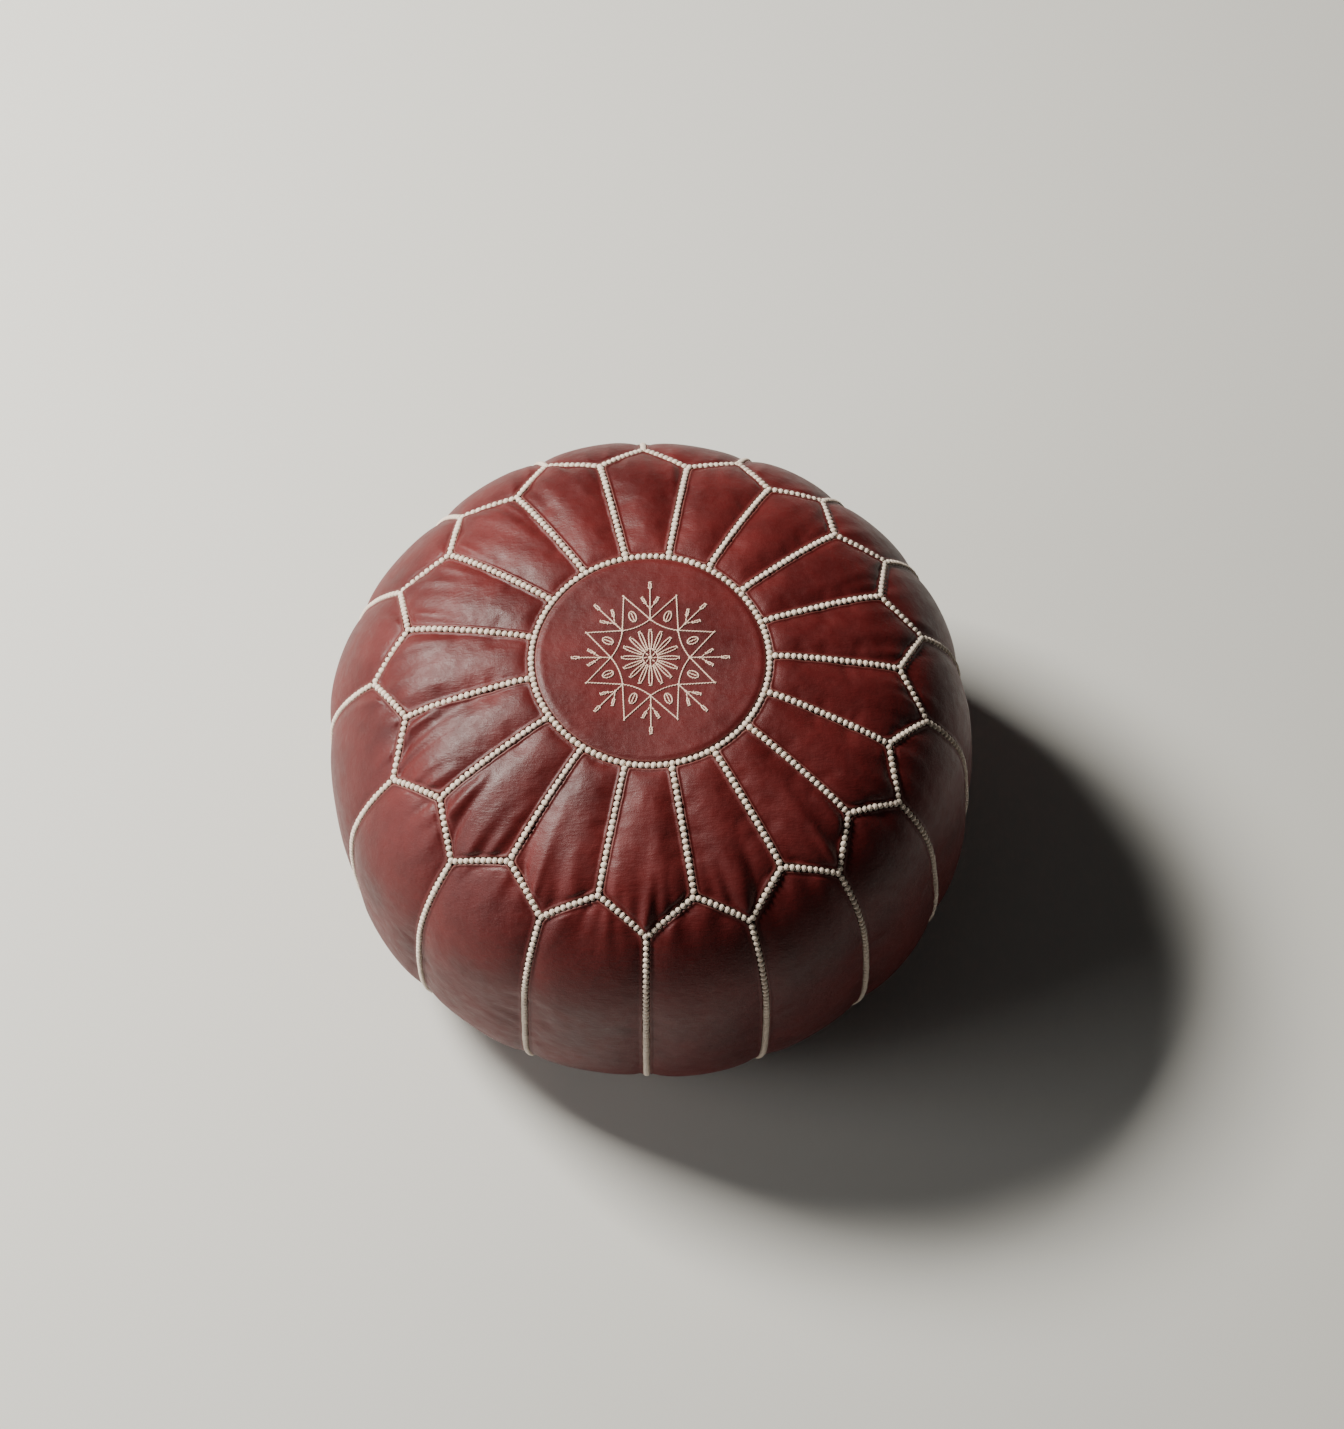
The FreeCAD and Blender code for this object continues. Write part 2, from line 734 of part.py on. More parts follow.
for name, x in (
    ("back", "Sizes.slider_back + 2.5"),
    ("front", "Sizes.slider_back + 2.5 + Sizes.bridge_length - Sizes.plate_thick"),
):
    slider_pieces.append(
        block(
            f"slider_leg_{name}",
            x=x,
            y="-Sizes.bridge_width / 2",
            z=bridge_low,
            dx="Sizes.plate_thick",
            dy="Sizes.bridge_width",
            dz="Sizes.bridge_clearance",
        )
    )
flange_sides = {
    "back": "Sizes.slider_width / 2 - Sizes.flange_width",
    "front": "-Sizes.slider_width / 2",
}
for side, y in flange_sides.items():
    for level, z in (("low", mouth_low), ("high", f"{mouth_high} - Sizes.flange_height")):
        slider_pieces.append(
            block(
                f"slider_flange_{level}_{side}",
                **plate,
                y=y,
                z=z,
                dy="Sizes.flange_width",
                dz="Sizes.flange_height",
            )
        )
keep(fuse("slider", slider_pieces), "zip_slider")

# The tab lies along the recess, with its pin in the slider's bridge.
PIN_X = "Sizes.slider_back + 5"
PIN_Z = f"{mouth_low} - Sizes.plate_thick - Sizes.bridge_clearance / 2"
tab_plate = block(
    "tab_plate",
    x=f"{PIN_X} - Sizes.tab_length",
    y="-Sizes.tab_width / 2",
    z=f"{PIN_Z} - Sizes.tab_thick / 2",
    dx="Sizes.tab_length + Sizes.pin_radius",
    dy="Sizes.tab_width",
    dz="Sizes.tab_thick",
)
tab_window = block(
    "tab_window",
    x=f"{PIN_X} - Sizes.tab_window_length - Sizes.pin_radius",
    y="-Sizes.tab_window_width / 2",
    z=f"{PIN_Z} - Sizes.tab_thick",
    dx="Sizes.tab_window_length",
    dy="Sizes.tab_window_width",
    dz="2 * Sizes.tab_thick",
)
tab_hole = doc.addObject("Part::Cylinder", "tab_hole")
tab_hole.setExpression("Radius", "Sizes.tab_hole_radius")
tab_hole.setExpression("Height", "2 * Sizes.tab_thick")
tab_hole.setExpression("Placement.Base.x", f"{PIN_X} - Sizes.tab_length + Sizes.tab_width / 2")
tab_hole.setExpression("Placement.Base.z", f"{PIN_Z} - Sizes.tab_thick")
tab_cut = combine("Cut", "tab_with_window", tab_plate, tab_window)
tab_cut = combine("Cut", "tab_with_hole", tab_cut, tab_hole)
doc.recompute()


def tab_corners():
    """Fillets on the four upright edges at the tab's ends."""
    rounded = doc.addObject("Part::Fillet", "pull_tab")
    rounded.Base = tab_cut
    box = tab_cut.Shape.BoundBox
    edges = []
    for number, edge in enumerate(tab_cut.Shape.Edges, start=1):
        middle = edge.BoundBox.Center
        upright = edge.BoundBox.ZLength > 0.9 * size("tab_thick")
        corner = abs(abs(middle.y) - size("tab_width") / 2) < 1e-6
        if upright and corner:
            far = middle.x < box.Center.x
            edges.append((number, *(2 * [2.5 if far else 0.6])))
    rounded.Edges = edges
    return rounded


keep(tab_corners(), "zip_pull_tab")


# ------------------------------------------------------------- check and export

doc.recompute()
for thing in doc.Objects:
    if "Invalid" in thing.State or "Error" in thing.State:
        raise SystemExit(f"{thing.Name} failed: {thing.State}")
for thing in sub_parts:
    shape = thing.Shape
    if shape.isNull() or not shape.isValid() or not shape.Solids:
        raise SystemExit(f"{thing.Label} has no valid solid")
os.makedirs("parts", exist_ok=True)
for thing in sub_parts:
    box = thing.Shape.optimalBoundingBox(False, False)
    solids, volume = len(thing.Shape.Solids), thing.Shape.Volume
    print(f"{thing.Label:26} {solids:3} solids {volume:12.1f} mm3, z {box.ZMin:6.2f} to {box.ZMax:6.2f}")
    thing.Shape.exportStep(f"parts/{thing.Label}.step")
print(len(sub_parts), "sub-parts; first seams at", [round(seam_angle(i), 1) for i in range(4)])
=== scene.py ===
# %% [markdown]
# # A Moroccan leather pouf
# The cover is sewn from seventeen petals, seventeen side panels, a round medallion and two
# half-round base panels. Thick cream thread is whipped over every join, so the joins read
# as strings of beads, and the stuffing pushes the leather up between them. This script
# builds what the eye sees around the plain solids of the frame: leather that is puffed and
# puckered, thread in real stitches, and an embroidered star.

from math import atan2, cos, hypot, pi, radians, sin, sqrt

import bmesh
import bpy
import numpy as np
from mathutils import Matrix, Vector


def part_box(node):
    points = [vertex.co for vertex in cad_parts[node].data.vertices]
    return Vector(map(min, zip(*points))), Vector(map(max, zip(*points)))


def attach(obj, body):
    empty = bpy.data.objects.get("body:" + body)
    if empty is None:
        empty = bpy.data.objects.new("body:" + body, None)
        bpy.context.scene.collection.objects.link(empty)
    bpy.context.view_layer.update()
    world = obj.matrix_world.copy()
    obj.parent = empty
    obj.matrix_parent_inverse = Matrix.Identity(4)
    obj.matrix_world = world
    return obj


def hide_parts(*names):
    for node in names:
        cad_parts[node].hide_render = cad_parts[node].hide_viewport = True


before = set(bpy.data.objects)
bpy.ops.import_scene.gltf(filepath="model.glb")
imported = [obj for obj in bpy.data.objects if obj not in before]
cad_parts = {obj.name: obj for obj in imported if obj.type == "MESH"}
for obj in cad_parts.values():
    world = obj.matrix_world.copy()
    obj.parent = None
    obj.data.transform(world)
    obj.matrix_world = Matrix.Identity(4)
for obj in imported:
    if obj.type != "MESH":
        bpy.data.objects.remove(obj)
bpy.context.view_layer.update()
rng = np.random.default_rng(17)
BODY = "pouf"

# %% [markdown]
# ## Camera
# The camera comes first, so that every later step can be judged through it. It stands well
# back with a long lens, looking down on the top at a steep angle, as if the pouf had been
# tipped up towards the viewer. Aiming a little off the pouf's middle places it low and to
# the left in the picture without shifting the lens.

# %% Camera
equator_height = 0.158
camera_distance, camera_elevation = 5.0, radians(62.35)
aim_right, aim_up = 0.0182, 0.0361

camera = bpy.data.objects.new("camera", bpy.data.cameras.new("camera"))
bpy.context.scene.collection.objects.link(camera)
bpy.context.scene.camera = camera
camera.data.lens = 145.6
camera.data.sensor_width = 36
camera.data.clip_end = 50
middle = Vector((0, 0, equator_height))
towards = Vector((0, -cos(camera_elevation), sin(camera_elevation)))
upwards = Vector((0, sin(camera_elevation), cos(camera_elevation)))
camera.location = middle + towards * camera_distance
aim = middle + Vector((aim_right, 0, 0)) + upwards * aim_up
camera.rotation_euler = (aim - camera.location).to_track_quat("-Z", "Y").to_euler()
print("camera at", tuple(round(c, 3) for c in camera.location))

# %% [markdown]
# ## The outline
# Every panel lies on one turned surface. Its outline is a nearly flat arc for the medallion,
# then five arcs that flow into each other. The direction of the outward normal grows
# steadily along such a chain, so each arc is just a centre, a radius and the span of normal
# directions it covers. Sampling the chain densely gives tables that answer "where is the
# cover, this far along it from the middle of the top?", which is how leather is measured.

# %% Outline of the cover
equator_radius = 0.275
medallion_height, medallion_radius = 0.3366, 3.2
crown_drop, crown_radius, shoulder_radius = 0.2363, 0.5805, 0.1337
side_radius, low_side_radius, floor_radius = 0.508, 0.500, 0.150


def outline_arcs():
    """(centre, radius, first and last normal direction from straight up) of each arc."""
    crown = (0.0, -crown_drop)
    flat_edge = sqrt(crown_radius**2 - (medallion_height + crown_drop) ** 2)
    medallion_normal = atan2(flat_edge, medallion_radius)
    flat = (0.0, medallion_height - medallion_radius * cos(medallion_normal))
    side = (equator_radius - side_radius, equator_height)
    to_crown, to_side = crown_radius - shoulder_radius, side_radius - shoulder_radius
    across = np.subtract(side, crown)
    apart = hypot(*across)
    along = (to_crown**2 - to_side**2 + apart**2) / (2 * apart)
    off = sqrt(to_crown**2 - along**2)
    unit = across / apart
    shoulder = crown + along * unit + off * np.array((unit[1], -unit[0]))
    if shoulder[0] < 0:
        shoulder = crown + along * unit - off * np.array((unit[1], -unit[0]))
    low_side = (equator_radius - low_side_radius, equator_height)
    dx = floor_radius - low_side[0]
    foot_radius = (low_side_radius**2 - dx**2 - equator_height**2)
    foot_radius /= 2 * (low_side_radius - equator_height)
    foot = (floor_radius, foot_radius)

    def direction(start, end):
        return atan2(end[0] - start[0], end[1] - start[1])

    first, second = direction(crown, shoulder), direction(side, shoulder)
    third = direction(low_side, foot)
    return [
        (flat, medallion_radius, 0, medallion_normal),
        (crown, crown_radius, atan2(flat_edge, medallion_height + crown_drop), first),
        (shoulder, shoulder_radius, first, second),
        (side, side_radius, second, pi / 2),
        (low_side, low_side_radius, pi / 2, third),
        (foot, foot_radius, third, pi),
    ]


def outline_tables(per_arc=400):
    """Distance from the pole, radius, height and normal direction, sampled along the outline."""
    rows = []
    for centre, radius, first, last in outline_arcs():
        for q in np.linspace(first, last, per_arc):
            rows.append((centre[0] + radius * sin(q), centre[1] + radius * cos(q), q))
    radii, heights, normals = np.array(rows).T
    steps = np.hypot(np.diff(radii), np.diff(heights))
    return np.concatenate([[0], np.cumsum(steps)]), radii, heights, normals


reach, out_radius, out_height, out_normal = outline_tables()
equator_index = int(np.argmax(out_radius))


def reach_at(radius, upper=True):
    """Distance along the cover from the pole to where it has this radius."""
    if upper:
        return np.interp(radius, out_radius[: equator_index + 1], reach[: equator_index + 1])
    return np.interp(-np.asarray(radius), -out_radius[equator_index:], reach[equator_index:])


def cover_frame(s, angle):
    """Points of the cover and their outward normals, s along it and at an angle about Z."""
    radius, height = np.interp(s, reach, out_radius), np.interp(s, reach, out_height)
    tilt = np.interp(s, reach, out_normal)
    c, n = np.cos(angle), np.sin(angle)
    points = np.stack([radius * c, radius * n, height + 0 * angle], -1)
    normals = np.stack([np.sin(tilt) * c, np.sin(tilt) * n, np.cos(tilt) + 0 * angle], -1)
    return points, normals


print("cover is", round(reach[-1], 3), "m from pole to the flat of the base")

# %% [markdown]
# ## Where the seams run
# Seams are counted in turns: whole turns are the joins between petals, half turns the
# joins between side panels. Hand cutting makes the panels of one side a little wider, which
# a single slow wave in the angle gives. The zigzag runs straight, in plan, from the inner
# point at a whole turn to the outer point at a half turn.

# %% Seams
panel_count = 17
first_seam = 106.0
wander, wander_lead = 4.4, 68.8
inner_point, outer_point = 0.210, 0.235
ring_box, base_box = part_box("medallion_ring_stitching"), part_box("base_ring_stitching")
cord_radius = (ring_box[1].z - ring_box[0].z) / 2
medallion_seam = (ring_box[1].x - ring_box[0].x) / 2 - cord_radius
base_seam = (base_box[1].x - base_box[0].x) / 2 - cord_radius


def seam_angle(turns):
    even = first_seam - 360 * np.asarray(turns, float) / panel_count
    return np.radians(even + wander * np.cos(np.radians(even + wander_lead)))


def zigzag_radius(turns):
    """Radius at which the zigzag crosses this direction: a ray against a straight chord."""
    turns = np.asarray(turns, float)
    whole = np.round(turns)
    half = whole + np.where(turns >= whole, 0.5, -0.5)
    here, inner, outer = seam_angle(turns), seam_angle(whole), seam_angle(half)
    ax, ay = inner_point * np.cos(inner), inner_point * np.sin(inner)
    bx, by = outer_point * np.cos(outer), outer_point * np.sin(outer)
    dx, dy = bx - ax, by - ay
    return (ax * dy - ay * dx) / (np.cos(here) * dy - np.sin(here) * dx)


s_ring = float(reach_at(medallion_seam))
s_base = float(reach_at(base_seam, upper=False))
print("seams: medallion", round(medallion_seam, 4), "base", round(base_seam, 4))

# %% [markdown]
# ## Hand stuffing
# Cotton packed by hand is never even: the surface swells and sinks by a millimetre or two
# over a hand's width. A few smooth waves in random directions, added up, give that. Leather,
# thread and embroidery all take their height from the same function, so they stay together.

# %% Uneven stuffing
lump_count, lump_height = 16, 0.0011
lump_spans = (0.10, 0.26)
flat_below = 0.03
lump_waves = rng.normal(size=(lump_count, 3))
lump_lengths = rng.uniform(*lump_spans, lump_count)
lump_waves *= (2 * pi / lump_lengths / np.linalg.norm(lump_waves, axis=1))[:, None]
lump_phases = rng.uniform(0, 2 * pi, lump_count)


def waves(points, directions, phases):
    """Waves in many directions added up; one is their usual size, not their greatest."""
    return np.cos(points @ directions.T + phases).sum(-1) / sqrt(lump_count / 2)


def lumps(points):
    """How far the stuffing lifts the cover at these points; nothing on the floor."""
    swell = waves(points, lump_waves, lump_phases) * lump_height
    return swell * np.clip(points[..., 2] / flat_below, 0, 1)


seam_depth, ring_depth, base_depth = 0.0030, 0.0044, 0.0015
ring_fade, base_fade = 0.010, 0.05


def sunk(s):
    """How deep a seam lies under the cover's outline, deepest round the medallion."""
    near_ring = np.exp(-(((s - s_ring) / ring_fade) ** 2))
    near_base = np.clip((s - s_base + base_fade) / base_fade, 0, 1)
    depth = seam_depth + (ring_depth - seam_depth) * near_ring
    return depth + (base_depth - depth) * near_base


def seam_point(s, angle, lift=0.0):
    """Points on a seam, and the cover's normals there; lift is measured from the seam's floor."""
    points, normals = cover_frame(s, angle)
    height = lumps(points) - sunk(s) + lift
    return points + normals * height[..., None], normals


print("the stuffing's waves are", lump_lengths.min().round(3), "to", lump_lengths.max().round(3), "m long")

# %% [markdown]
# ## Stuffing the cover
# Real panels are cut flat and a little full, sewn together, and pushed out by the stuffing,
# so they swell between the seams and pucker where a full edge is gathered into a tighter
# one. Cloth simulation does exactly that. One grid covers petals and side panels at once:
# its columns follow the seams between panels, and its rows bend so that one of them is the
# zigzag. The seams are pinned, the cloth between them is given spare width, and pressure
# stands in for the cotton.

# %% The grid that is simulated
half_columns, petal_rows, side_rows = 10, 36, 88
side_crowding = 1.12
columns = panel_count * 2 * half_columns
turns = np.arange(columns) / (2 * half_columns)
column_angle = seam_angle(turns)
s_zigzag = reach_at(zigzag_radius(turns))


def row_reach():
    """Distance along the cover of every grid point: rows, then columns."""
    petal_part = np.linspace(0, 1, petal_rows + 1)[:, None]
    side_part = np.linspace(0, 1, side_rows + 1)[1:, None] ** side_crowding
    upper = s_ring + (s_zigzag - s_ring) * petal_part
    lower = s_zigzag + (s_base - s_zigzag) * side_part
    return np.vstack([upper, lower])


grid_s = row_reach()
grid_angle = np.broadcast_to(column_angle, grid_s.shape)
grid_points, grid_normals = cover_frame(grid_s, grid_angle)


def soft_minimum(*distances):
    """The least of several distances, rounded where two are alike."""
    return sum(np.maximum(d, 1e-5) ** -4.0 for d in distances) ** -0.25


zigzag_slope = 0.79


def edge_distances(s, turn, zig):
    """Distance to the nearest seam, for points above the zigzag and for points below it."""
    radius = np.interp(s, reach, out_radius)
    angle = seam_angle(turn)

    def either_side(first):
        return [radius * np.abs(angle - seam_angle(first + k)) for k in (0, 1)]

    petal = either_side(np.floor(turn + 1e-9))
    side = either_side(np.floor(turn + 0.5 + 1e-9) - 0.5)
    above = soft_minimum(*petal, s - s_ring, np.abs(zig - s) * zigzag_slope)
    below = soft_minimum(*side, s_base - s, np.abs(s - zig) * zigzag_slope)
    return np.where(s <= zig, above, below)


grid_turns = np.broadcast_to(turns, grid_s.shape)
grid_edge = edge_distances(grid_s, grid_turns, np.broadcast_to(s_zigzag, grid_s.shape))
spacing = 2 * pi * equator_radius / columns
print("grid", grid_s.shape, "spacing at the equator", round(spacing * 1000, 1), "mm")

# %% [markdown]
# ## A good start
# Cloth settles faster and more evenly when it starts near its final shape. So the leather
# between the seams is raised by a formula first, and only the seams stay where they are.

# %% Puffed start
puff_height, puff_reach = 0.0050, 0.012


def puffed(edge):
    """How far the leather stands above the seam's floor, by distance from the seam."""
    return puff_height * (1 - np.exp(-edge / puff_reach))


pinned = np.zeros(grid_s.shape, bool)
pinned[0] = pinned[-1] = pinned[petal_rows] = True
pinned[: petal_rows + 1, :: 2 * half_columns] = True
pinned[petal_rows:, half_columns :: 2 * half_columns] = True
start_lift = lumps(grid_points) - sunk(grid_s) + np.where(pinned, 0, puffed(grid_edge))
start = grid_points + grid_normals * start_lift[..., None]
print(int(pinned.sum()), "of", pinned.size, "points are pinned to a seam")


def grid_faces(rows, cols, wrap=False):
    """Quads of a grid of rows by cols vertices; wrap joins its last column to its first."""
    i = np.arange(rows - 1)[:, None]
    j = np.arange(cols if wrap else cols - 1)[None, :]
    k = (j + 1) % cols
    corners = [i * cols + j, i * cols + k, (i + 1) * cols + k, (i + 1) * cols + j]
    return np.stack(corners, -1).reshape(-1, 4)


def mesh_object(name, vertices, faces):
    """An object from vertices and from faces, which are an array or a list of lists."""
    mesh = bpy.data.meshes.new(name)
    faces = faces.tolist() if isinstance(faces, np.ndarray) else faces
    mesh.from_pydata(np.asarray(vertices).reshape(-1, 3).tolist(), [], faces)
    mesh.validate()
    piece = bpy.data.objects.new(name, mesh)
    bpy.context.scene.collection.objects.link(piece)
    return piece


# %% [markdown]
# ## Blowing it up
# The cloth is given spare length: a little everywhere, and more beside the zigzag, where it
# comes and goes so that the leather puckers unevenly. Seams are pinned, gravity is off, and
# pressure does the rest. Two dozen frames are enough for the cloth to take its shape.

# %% Cloth simulation
sim_frames = 24
cloth_slack, gather, gather_reach = 0.004, 0.014, 0.020
gather_mean, gather_swing, gather_crowding = 0.65, 0.35, 2.2


def slack_weights():
    """Spare length, most beside the zigzag, where full edges are gathered in, and uneven."""
    from_zigzag = np.abs(grid_s - s_zigzag) * zigzag_slope
    swell = waves(grid_points, lump_waves * gather_crowding, lump_phases[::-1])
    uneven = np.clip(gather_mean + gather_swing * swell, 0.05, 1)
    return np.exp(-((from_zigzag / gather_reach) ** 2)) * uneven


def stuff(cloth, frames):
    """Runs the cloth and returns its points at the last frame."""
    pins = cloth.vertex_groups.new(name="pins")
    pins.add(np.flatnonzero(pinned.ravel()).tolist(), 1.0, "REPLACE")
    slack = cloth.vertex_groups.new(name="slack")
    for index, weight in enumerate(slack_weights().ravel()):
        if weight > 0.01:
            slack.add([index], float(weight), "REPLACE")
    modifier = cloth.modifiers.new("stuffing", "CLOTH")
    settings = modifier.settings
    settings.quality, settings.mass = 5, 0.15
    settings.tension_stiffness, settings.compression_stiffness = 40, 20
    settings.shear_stiffness, settings.bending_stiffness = 15, 6
    settings.use_pressure = True
    settings.uniform_pressure_force = 5.0
    settings.effector_weights.gravity = 0
    settings.vertex_group_mass = "pins"
    settings.vertex_group_shrink = "slack"
    settings.shrink_min = -cloth_slack
    settings.shrink_max = -gather
    modifier.point_cache.frame_end = frames
    for number in range(1, frames + 1):
        bpy.context.scene.frame_set(number)
    graph = bpy.context.evaluated_depsgraph_get()
    result = cloth.evaluated_get(graph).to_mesh()
    coordinates = np.empty(len(result.vertices) * 3, np.float32)
    result.vertices.foreach_get("co", coordinates)
    bpy.context.scene.frame_set(1)
    return coordinates.astype(float).reshape(start.shape)


stuffed = start
cloth = mesh_object("cloth", start, grid_faces(*grid_s.shape, True))
stuffed = stuff(cloth, sim_frames)
bpy.data.objects.remove(cloth)
moved = stuffed - start
rise = (moved * grid_normals).sum(-1) * 1000
print("stuffing moved the leather by", rise.min().round(1), "to", rise.max().round(1), "mm")

# %% [markdown]
# ## From the simulated grid to leather panels
# The simulation knows the broad shape, but a leather edge needs points a millimetre apart.
# Each panel is a patch of the grid, so its surface is read again on finer lines, packed
# closely beside the seams, by a cubic that passes through the simulated points. There the
# folded lip of the leather is added, and the edge is turned in to where the thread holds it.

# %% Finer lines through the grid
lines_near_edge = (5, 4, 3, 3)
lip_height, lip_place, lip_width = 0.0012, 0.0038, 0.0010
flange_depth, flange_back = 0.0050, 0.0006


def fine_lines(count, inner_split):
    """Places along a stretch of grid, in grid steps, closer together near both ends."""
    places = [0.0]
    for step in range(count):
        from_end = min(step, count - 1 - step)
        split = lines_near_edge[from_end] if from_end < len(lines_near_edge) else inner_split
        places += [step + (k + 1) / split for k in range(split)]
    return np.array(places)


def cubic_matrix(places, count):
    """Weights that read a smooth curve through count points at the given places."""
    matrix = np.zeros((len(places), count + 2))
    base = np.clip(places.astype(int), 0, count - 2)
    t = places - base
    weights = (
        (-t + 2 * t**2 - t**3) / 2,
        (2 - 5 * t**2 + 3 * t**3) / 2,
        (t + 4 * t**2 - 3 * t**3) / 2,
        (t**3 - t**2) / 2,
    )
    for offset, weight in enumerate(weights):
        matrix[np.arange(len(places)), base + offset] += weight
    inner = matrix[:, 1:-1].copy()
    inner[:, 0] += 2 * matrix[:, 0]
    inner[:, 1] -= matrix[:, 0]
    inner[:, -1] += 2 * matrix[:, -1]
    inner[:, -2] -= matrix[:, -1]
    return inner


def surface_normals(points):
    """Outward normals of a grid of points, by differences along rows and columns."""
    down = np.gradient(points, axis=0)
    across = np.gradient(points, axis=1)
    normals = np.cross(across, down)
    return normals / np.linalg.norm(normals, axis=-1, keepdims=True)


def with_flange(points, normals):
    """Adds a border all round that dives under the seam, towards the panel's own side."""
    middle = points.mean((0, 1))
    padded = np.pad(points, ((1, 1), (1, 1), (0, 0)), mode="edge")
    border = np.ones(padded.shape[:2], bool)
    border[1:-1, 1:-1] = False
    inward = np.pad(normals, ((1, 1), (1, 1), (0, 0)), mode="edge")
    back = middle - padded
    back /= np.linalg.norm(back, axis=-1, keepdims=True)
    padded[border] += (back * flange_back - inward * flange_depth)[border]
    return padded


def lip(edge):
    """Height of the folded edge beside the thread."""
    return lip_height * np.exp(-(((edge - lip_place) / lip_width) ** 2))


print("a petal's columns are read at", len(fine_lines(2 * half_columns, 2)), "places")

# %% [markdown]
# ## Folds by the zigzag
# The zigzag pulls the full lower edges of the petals together, and the leather gathers into
# soft ridges that run up towards the medallion and die out. Side panels have a few shorter
# ones below the seam. Each ridge is a bump along a line: round across it, quick to rise
# beside the seam and slow to fade. They are strongest on the side that was stuffed last.

# %% Folds
fold_rng = np.random.default_rng(5)
tight_side = radians(232)
petal_folds, side_folds = (4, 6), (3, 5)
fold_height, fold_width, fold_length = 0.0042, 0.0046, 0.060
fold_start, lean_reach = 0.010, 0.05
fold_signs = (1, 1, 1, -0.8)


def tightness(angle):
    """How strongly the panels are gathered in this direction, from 0.24 to 1."""
    return 0.62 + 0.38 * cos(angle - tight_side)


def draw_folds(centre, counts, span, strength, length):
    """(turn at the seam, lean, height, width, length) of each fold of one panel."""
    folds = []
    count = int(fold_rng.integers(*counts))
    for k in range(count):
        place = centre + span * ((k + 0.5) / count - 0.5) + fold_rng.uniform(-0.03, 0.03)
        lean = fold_rng.uniform(-0.06, 0.20)
        height = fold_height * strength * fold_rng.uniform(0.45, 1.0) * fold_rng.choice(fold_signs)
        width = fold_width * fold_rng.uniform(0.75, 1.25)
        folds.append((place, lean, height, width, length * fold_rng.uniform(0.6, 1.25)))
    return folds


def fold_lift(folds, s, turn, zig):
    """Height that a panel's folds add at points of the cover."""
    radius = np.interp(s, reach, out_radius)
    away = np.abs(s - zig)
    lift = np.zeros_like(s)
    for place, lean, height, width, length in folds:
        shift = (turn - place - lean * away / lean_reach) * 2 * pi / panel_count * radius
        wide = width * (1 + 0.5 * away / length)
        along = np.clip(away / fold_start, 0, 1) ** 1.5 * np.exp(-((away / length) ** 2))
        lift += height * np.exp(-((shift / wide) ** 2)) * along
    return lift


print("folds are up to", fold_height * 1000, "mm high")

# %% [markdown]
# ## One panel of leather
# Petals and side panels are made by one function. It picks the panel's own rows and columns
# of the grid, reads them on the finer lines, and adds lip, folds and turned-in edge. It also
# stores how near each point is to a seam, where the colour is darkened as dye and painted shade
# and the lip is made paler as wear and a painted highlight.

# %% A panel
near_reach = 0.0045


def store_edge(panel, distance):
    """Keeps how near each point is to its seam, from 1 on it to 0 far away, for the colour: dye and painted
    shade by the seam, wear and a painted highlight on the lip.
    """
    attribute = panel.data.attributes.new("seam_near", "FLOAT", "POINT")
    attribute.data.foreach_set("value", np.exp(-np.ravel(distance) / near_reach).astype(np.float32))


def leather_panel(name, rows, cols, folds):
    """One panel's mesh from its rows and columns of the simulated grid."""
    picked = np.take(stuffed[rows], cols, axis=1, mode="wrap")
    s_part = np.take(grid_s[rows], cols, axis=1, mode="wrap")
    row_lines = fine_lines(picked.shape[0] - 1, 1)
    col_lines = fine_lines(picked.shape[1] - 1, 2)
    by_row = cubic_matrix(row_lines, picked.shape[0])
    by_col = cubic_matrix(col_lines, picked.shape[1])
    points = np.einsum("ri,ijk,cj->rck", by_row, picked, by_col)
    s = by_row @ s_part @ by_col.T
    turn = np.broadcast_to((cols[0] + col_lines) / (2 * half_columns), s.shape)
    zig = reach_at(zigzag_radius(turn))
    own_side = np.minimum(s, zig) if rows.start == 0 else np.maximum(s, zig + 1e-9)
    edge = edge_distances(own_side, turn, zig)
    normals = surface_normals(points)
    points = points + normals * (lip(edge) + fold_lift(folds, s, turn, zig))[..., None]
    shape = with_flange(points, normals)
    panel = mesh_object(name, shape, grid_faces(*shape.shape[:2]))
    store_edge(panel, np.pad(edge, 1))
    return panel


# %% [markdown]
# ## Thickness
# Goat hide for poufs is about a millimetre and a half thick. A Solidify modifier gives the sheet
# that thickness inwards, so that its outside stays where it was shaped.

# %% Thickness
leather = 0.0014


def plain_mesh(piece):
    """Replaces a piece's mesh by what its modifiers make, and drops them."""
    graph = bpy.context.evaluated_depsgraph_get()
    mesh = bpy.data.meshes.new_from_object(piece.evaluated_get(graph))
    piece.modifiers.clear()
    piece.data = mesh
    return piece


def thicken(panel):
    """Gives a leather sheet its thickness, inwards."""
    solid = panel.modifiers.new("thickness", "SOLIDIFY")
    solid.thickness, solid.offset = leather, -1
    plain_mesh(panel)
    panel.data.shade_smooth()
    return panel


# %% [markdown]
# ## Petals and side panels
# Seventeen of each, cut by a loop. Whole turns are the middles of the side panels and the
# joins of the petals, so the two rows stand half a panel apart. How full of folds a panel is
# depends on which way it faces.

